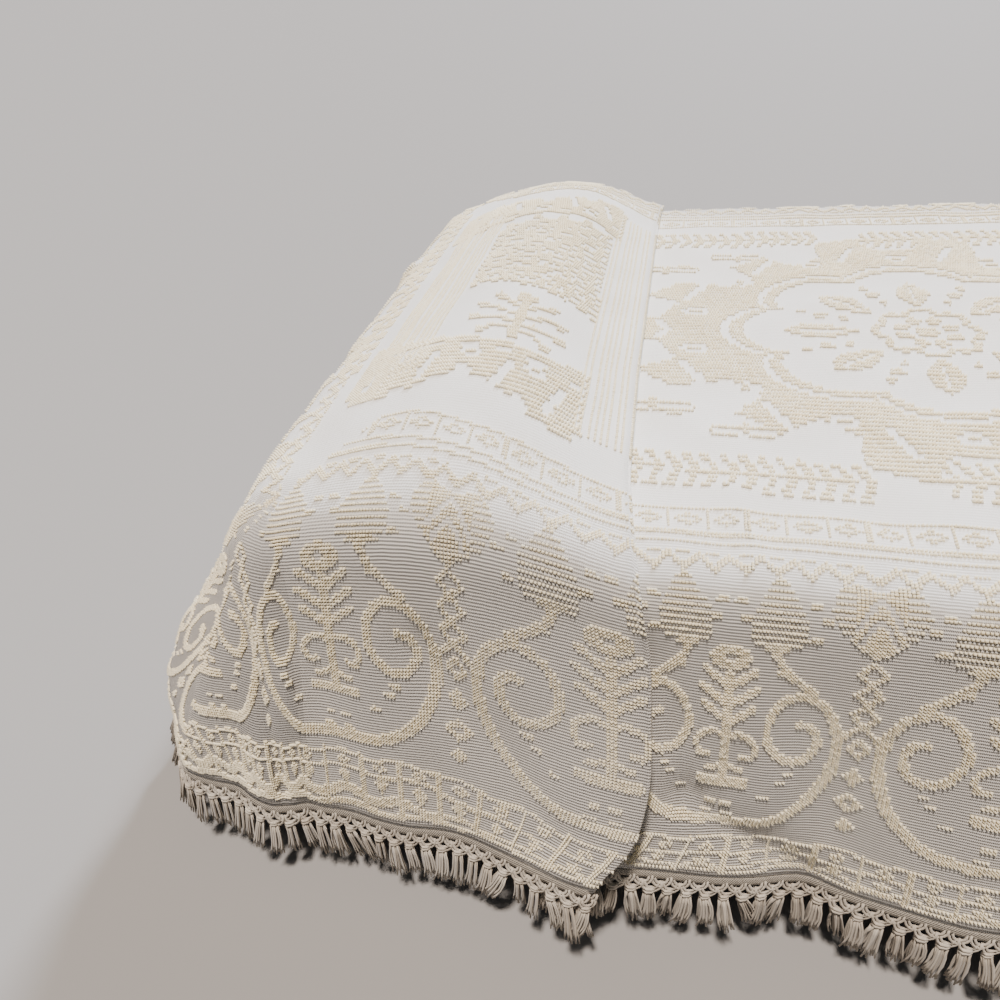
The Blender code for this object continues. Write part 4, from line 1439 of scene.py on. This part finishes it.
def tassel_shape(name, seed, length, strands):
    """A tassel of loose strands that splay and part a little towards their ends."""
    random = np.random.default_rng(seed)
    parts = []
    for index in range(strands):
        aim = 2 * np.pi * index / strands + random.uniform(-0.3, 0.3)
        ring = STRAND_RING + STRAND_RING_REACH * (index % 3) / 2
        own = length * random.uniform(0.84, 1.03)
        splay = random.normal(0, STRAND_SPLAY)
        bow = random.normal(0, STRAND_BOW)
        shares = np.linspace(0, 1, len(STRAND_TAPER))
        path = np.stack((
            ring * 1.5 * math.cos(aim) * (0.75 + 0.45 * shares ** 0.6) + splay * shares ** 1.5
            + bow * np.sin(np.pi * shares),
            -own * shares,
            ring * 0.8 * math.sin(aim) * (0.55 + 0.8 * shares) + 0.4 * splay * shares
            + 0.5 * bow * np.sin(np.pi * shares),
        ), -1)
        parts.append(tube_rings(path, STRAND_RADIUS * np.array(STRAND_TAPER), 3))
    return joined_shape(name, parts, random.uniform(0.0, 0.4, strands))


def build_tape(material):
    """The woven heading that joins the fringe to the hem: a closed ribbon."""
    station, across = hem_path()
    keep = np.linspace(0, len(station) - 1, TAPE_PLACES).astype(int)
    station, across = station[keep], across[keep]
    rows = []
    for depth in TAPE_LEVELS:
        place = below_hem(station, across, depth)
        lower = below_hem(station, across, depth + HEM_PROBE)
        tangent = np.roll(place, -1, axis=0) - np.roll(place, 1, axis=0)
        outward = np.cross(tangent, place - lower)
        outward /= np.maximum(np.linalg.norm(outward, axis=1, keepdims=True), 1e-9)
        rows.append((place, outward))
    sides = list(zip(rows, TAPE_HALF_THICKNESS))
    front = [place + outward * thick for (place, outward), thick in sides]
    behind = [place - outward * thick for (place, outward), thick in sides]
    rings = [*front, *reversed(behind)]
    count = len(station)
    points = np.concatenate(rings)
    faces = []
    for level in range(len(rings)):
        follow_level = (level + 1) % len(rings)
        for column in range(count):
            follow = (column + 1) % count
            faces.append((level * count + column, follow_level * count + column,
                          follow_level * count + follow, level * count + follow))
    mesh = bpy.data.meshes.new("fringe_heading")
    mesh.from_pydata(points.tolist(), [], faces)
    lengths = run_lengths(rows[0][0])
    add_uv(mesh, "flat", np.concatenate([np.stack((lengths, np.full(count, depth)), -1)
                                         for depth in (*TAPE_LEVELS, *reversed(TAPE_LEVELS))]))
    mesh.materials.append(material)
    mesh.shade_smooth()
    return link_object("fringe_heading", mesh)


def hang_shape(name, material, shape, place, turns, unevenness, seed):
    """Hang one shape, at its own size, at places round the hem, and clear it away."""
    piece = scatter(name, material, shape, place, turns, np.ones((len(place), 3)),
                    {"Length": 1.0, "Width": 1.0, "Height": 1.0, "Twist": 0.0,
                     "Unevenness": unevenness, "Seed": seed})
    bpy.data.objects.remove(shape)
    return piece


def build_fringe(material, tape, sizes):
    """The knotted fringe: heading, two rows of net, knots and tassels."""
    pieces = [build_tape(tape)]
    pitch = sizes.tassel_pitch
    for row in NET_ROWS:
        place, tangent, up, facing = fringe_frames(row.depth, pitch, row.shift)
        shape = net_shape(f"{row.name}_shape", SCALLOP_WIDTH, row.fall, NET_CORD)
        pieces.append(hang_shape(row.name, material, shape, place,
                                 euler_turns(tangent, up, facing), row.unevenness, 3))
    place, tangent, up, facing = fringe_frames(KNOT_DEPTH, pitch, 0.0)
    pieces.append(hang_shape("tassel_knots", material, knot_shape(), place,
                             euler_turns(tangent, up, facing), 0.12, 5))
    random = np.random.default_rng(29)
    sway = random.normal(0, TASSEL_SWAY, len(place))
    lean = random.normal(*TASSEL_LEAN, len(place))
    kinds = random.integers(0, TASSEL_KINDS, len(place))
    hang = up * np.cos(sway)[:, None] + tangent * np.sin(sway)[:, None]
    hang = unit(hang + facing * lean[:, None])
    run = unit(tangent - hang * (tangent * hang).sum(-1, keepdims=True))
    turns = euler_turns(run, hang, np.cross(run, hang))
    start = place - up * TASSEL_TUCK
    for kind in range(TASSEL_KINDS):
        own = kinds == kind
        shape = tassel_shape(f"tassel_shape_{kind + 1}", 40 + kind, TASSEL_LENGTH, TASSEL_STRANDS)
        pieces.append(hang_shape(f"tassels_{kind + 1}", material, shape, start[own], turns[own],
                                 0.10, 60 + kind))
    return pieces


# --- Properties, operators and panel --------------------------------------------------------------


class BedspreadSizes(bpy.types.PropertyGroup):
    """Sizes of the loops and the fringe."""

    loop_length: FloatProperty(name="Loop Length", description="Length of a loop along its rib",
                               default=0.0052, unit="LENGTH")
    loop_width: FloatProperty(name="Loop Width", description="Width of a loop across its rib",
                              default=0.0047, unit="LENGTH")
    loop_height: FloatProperty(name="Loop Height", description="How far a loop stands proud",
                               default=0.0050, unit="LENGTH")
    tassel_pitch: FloatProperty(name="Tassel Pitch", description="Distance between two tassels",
                                default=TASSEL_PITCH, unit="LENGTH")


def colour_property(name, description, hex_code):
    """A colour property whose default is an sRGB hex value."""
    return FloatVectorProperty(name=name, description=description, subtype="COLOR", size=4,
                               min=0.0, max=1.0, default=linear_colour(hex_code))


class BedspreadColours(bpy.types.PropertyGroup):
    """Colours of the yarns, the bed under them and the floor."""

    ground: colour_property("Ground", "Woven ground on the top", "#EFEFEC")
    ground_worn: colour_property("Worn Ground", "Its duller patches", "#E7E4DD")
    # Painted shade: the duller tint of the hanging sides.
    ground_side_shade: colour_property("Hanging Ground", "Ground on the sides", "#D9D2C7")
    # Painted shade: the colour mixed into the grooves between ribs.
    ground_groove_shade: colour_property("Groove", "Between two ribs", "#7D7267")
    loop: colour_property("Loop", "Pile loops", "#F8F0D8")
    loop_tint: colour_property("Loop Tint", "The creamier loops", "#EADBB4")
    # Painted shade at the foot of each loop; on the fringe the same colour makes some strands darker
    # at random.
    loop_shade_and_strand_tone: colour_property("Hollow", "Between crowded loops", "#6B6052")
    yarn: colour_property("Fringe", "Fringe yarn", "#C8C0B2")
    yarn_tint: colour_property("Fringe Tint", "The dingier fringe yarn", "#A69A8A")
    tape: colour_property("Heading", "Tape the fringe is knotted to", "#D2CABC")
    # Painted shade between the heading's cords.
    tape_groove_shade: colour_property("Heading Groove", "Between its cords", "#857A6B")
    ticking: colour_property("Mattress", "Mattress ticking", "#E6E5E0")
    base_cloth: colour_property("Bed Base", "Cloth on the base", "#8C8C8E")
    pillowcase: colour_property("Pillowcase", "Both pillowcases", "#EEEEEB")
    floor: colour_property("Floor", "Plain studio floor", "#8C8A87")


def finish_pieces(pieces, slot, *nodes):
    """Make pieces ride on the bed and stand for nodes; the slot is not used."""
    for piece in pieces:
        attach(piece, "root")
        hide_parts(*nodes)


class BEDSPREAD_OT_weave_ground(bpy.types.Operator):
    """Weave the ribbed ground over the bed and the pillows."""

    bl_idname = "bedspread.weave_ground"
    bl_label = "Weave Ground"

    def execute(self, context):
        ground = build_ground(ground_material(context.scene.bedspread_colours))
        finish_pieces([ground], "pile_cotton", "bedspread_cloth")
        return {"FINISHED"}


class BEDSPREAD_OT_raise_loops(bpy.types.Operator):
    """Raise the figured pile loops on the ground."""

    bl_idname = "bedspread.raise_loops"
    bl_label = "Raise Loops"

    def execute(self, context):
        colours = context.scene.bedspread_colours
        pile = yarn_material("cream loop-pile cotton", colours.loop, colours.loop_tint,
                             colours.loop_shade_and_strand_tone, LOOP_FOOT_SHADE, LOOP_GRAIN)
        loops = build_loops(pile, context.scene.bedspread_sizes)
        finish_pieces(loops, "pile_cotton", "bedspread_cloth")
        return {"FINISHED"}


class BEDSPREAD_OT_knot_fringe(bpy.types.Operator):
    """Knot the fringe to the hem: heading, net, knots and tassels."""

    bl_idname = "bedspread.knot_fringe"
    bl_label = "Knot Fringe"

    def execute(self, context):
        colours = context.scene.bedspread_colours
        yarn = yarn_material("soft cotton fringe yarn", colours.yarn, colours.yarn_tint,
                             colours.loop_shade_and_strand_tone, STRAND_DARKENING, STRAND_GRAIN)
        fringe = build_fringe(yarn, tape_material(colours), context.scene.bedspread_sizes)
        finish_pieces(fringe, "fringe_yarn", "knotted_fringe")
        return {"FINISHED"}


class BEDSPREAD_OT_cover_bed(bpy.types.Operator):
    """Give the mattress, the base and the pillows their covers."""

    bl_idname = "bedspread.cover_bed"
    bl_label = "Cover Bed"

    def execute(self, context):
        colours = context.scene.bedspread_colours
        for cover in COVERS:
            material = cover_material(cover.name, getattr(colours, cover.colour), cover.pitch,
                                      cover.roughness)
            for node in cover.nodes:
                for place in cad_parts[node].material_slots:
                    place.material = material
        return {"FINISHED"}


class BEDSPREAD_OT_set_stage(bpy.types.Operator):
    """Set the floor, the soft lights and the camera."""

    bl_idname = "bedspread.set_stage"
    bl_label = "Set Stage"

    def execute(self, context):
        scene = context.scene
        build_floor(tuple(scene.bedspread_colours.floor))
        build_lights()
        scene.camera = build_camera()
        return {"FINISHED"}


def build_floor(colour):
    """A plain pale floor."""
    material, tree, shader = new_material("plain pale studio floor", 0.9)
    shader.inputs["Base Color"].default_value = colour
    half = FLOOR_HALF
    mesh = bpy.data.meshes.new("studio_floor")
    mesh.from_pydata([(-half, -half, 0), (half, -half, 0), (half, half, 0), (-half, half, 0)],
                     [], [(0, 1, 2, 3)])
    mesh.materials.append(material)
    link_object("studio_floor", mesh)


def build_lights():
    """Cool daylight from behind, a warm one from straight above, and a weak fill."""
    for row in LIGHTS:
        data = bpy.data.lights.new(row.name, "SUN")
        data.angle = math.radians(row.spread)
        data.energy = row.strength
        data.color = linear_colour(row.colour)[:3]
        lamp = bpy.data.objects.new(row.name, data)
        bpy.context.scene.collection.objects.link(lamp)
        lamp.location = row.origin
        lamp.rotation_euler = (-Vector(row.origin)).to_track_quat("-Z", "Y").to_euler()
    world = bpy.data.worlds.new("soft studio")
    world.use_nodes = True
    background = world.node_tree.nodes["Background"]
    background.inputs["Color"].default_value = linear_colour(ROOM_COLOUR)
    background.inputs["Strength"].default_value = ROOM_STRENGTH
    bpy.context.scene.world = world


def build_camera():
    """The camera, looking down over the near side from beside the pillows."""
    heading, pitch, roll = (math.radians(value)
                            for value in (CAMERA_HEADING, CAMERA_PITCH, CAMERA_ROLL))
    level = Vector((-math.sin(heading), math.cos(heading), 0))
    right = Vector((math.cos(heading), math.sin(heading), 0))
    ahead = math.cos(pitch) * level - math.sin(pitch) * Vector((0, 0, 1))
    up = math.sin(pitch) * level + math.cos(pitch) * Vector((0, 0, 1))
    axis_x = math.cos(roll) * right + math.sin(roll) * up
    axis_y = -math.sin(roll) * right + math.cos(roll) * up
    data = bpy.data.cameras.new("camera")
    data.lens = CAMERA_LENS
    data.sensor_width = CAMERA_SENSOR
    camera = bpy.data.objects.new("camera", data)
    bpy.context.scene.collection.objects.link(camera)
    turn = Matrix((axis_x, axis_y, -ahead)).transposed().to_4x4()
    stand = Vector((BED_MIDDLE.x, BED_MIDDLE.y, 0)) + Vector(CAMERA_STAND)
    camera.matrix_world = Matrix.Translation(stand) @ turn
    return camera


class BEDSPREAD_PT_sidebar(bpy.types.Panel):
    """Sidebar panel with the bedspread's sizes and steps."""

    bl_label = "Bedspread"
    bl_idname = "BEDSPREAD_PT_sidebar"
    bl_space_type = "VIEW_3D"
    bl_region_type = "UI"
    bl_category = "Bedspread"

    def draw(self, context):
        layout = self.layout
        for group in (context.scene.bedspread_sizes, context.scene.bedspread_colours):
            box = layout.box()
            for name in group.__annotations__:
                box.prop(group, name)
        for step in STEPS:
            layout.operator(step.bl_idname)


STEPS = (BEDSPREAD_OT_weave_ground, BEDSPREAD_OT_raise_loops, BEDSPREAD_OT_knot_fringe,
         BEDSPREAD_OT_cover_bed, BEDSPREAD_OT_set_stage)
CLASSES = (BedspreadSizes, BedspreadColours, *STEPS, BEDSPREAD_PT_sidebar)


def register():
    """Register the classes and hang the properties on the scene."""
    for cls in CLASSES:
        bpy.utils.register_class(cls)
    bpy.types.Scene.bedspread_sizes = PointerProperty(type=BedspreadSizes)
    bpy.types.Scene.bedspread_colours = PointerProperty(type=BedspreadColours)


def unregister():
    """Undo register."""
    del bpy.types.Scene.bedspread_colours
    del bpy.types.Scene.bedspread_sizes
    for cls in reversed(CLASSES):
        bpy.utils.unregister_class(cls)


def main():
    """Run every step in order."""
    register()
    bpy.ops.bedspread.weave_ground()
    bpy.ops.bedspread.raise_loops()
    bpy.ops.bedspread.knot_fringe()
    bpy.ops.bedspread.cover_bed()
    bpy.ops.bedspread.set_stage()


if __name__ == "__main__":
    main()
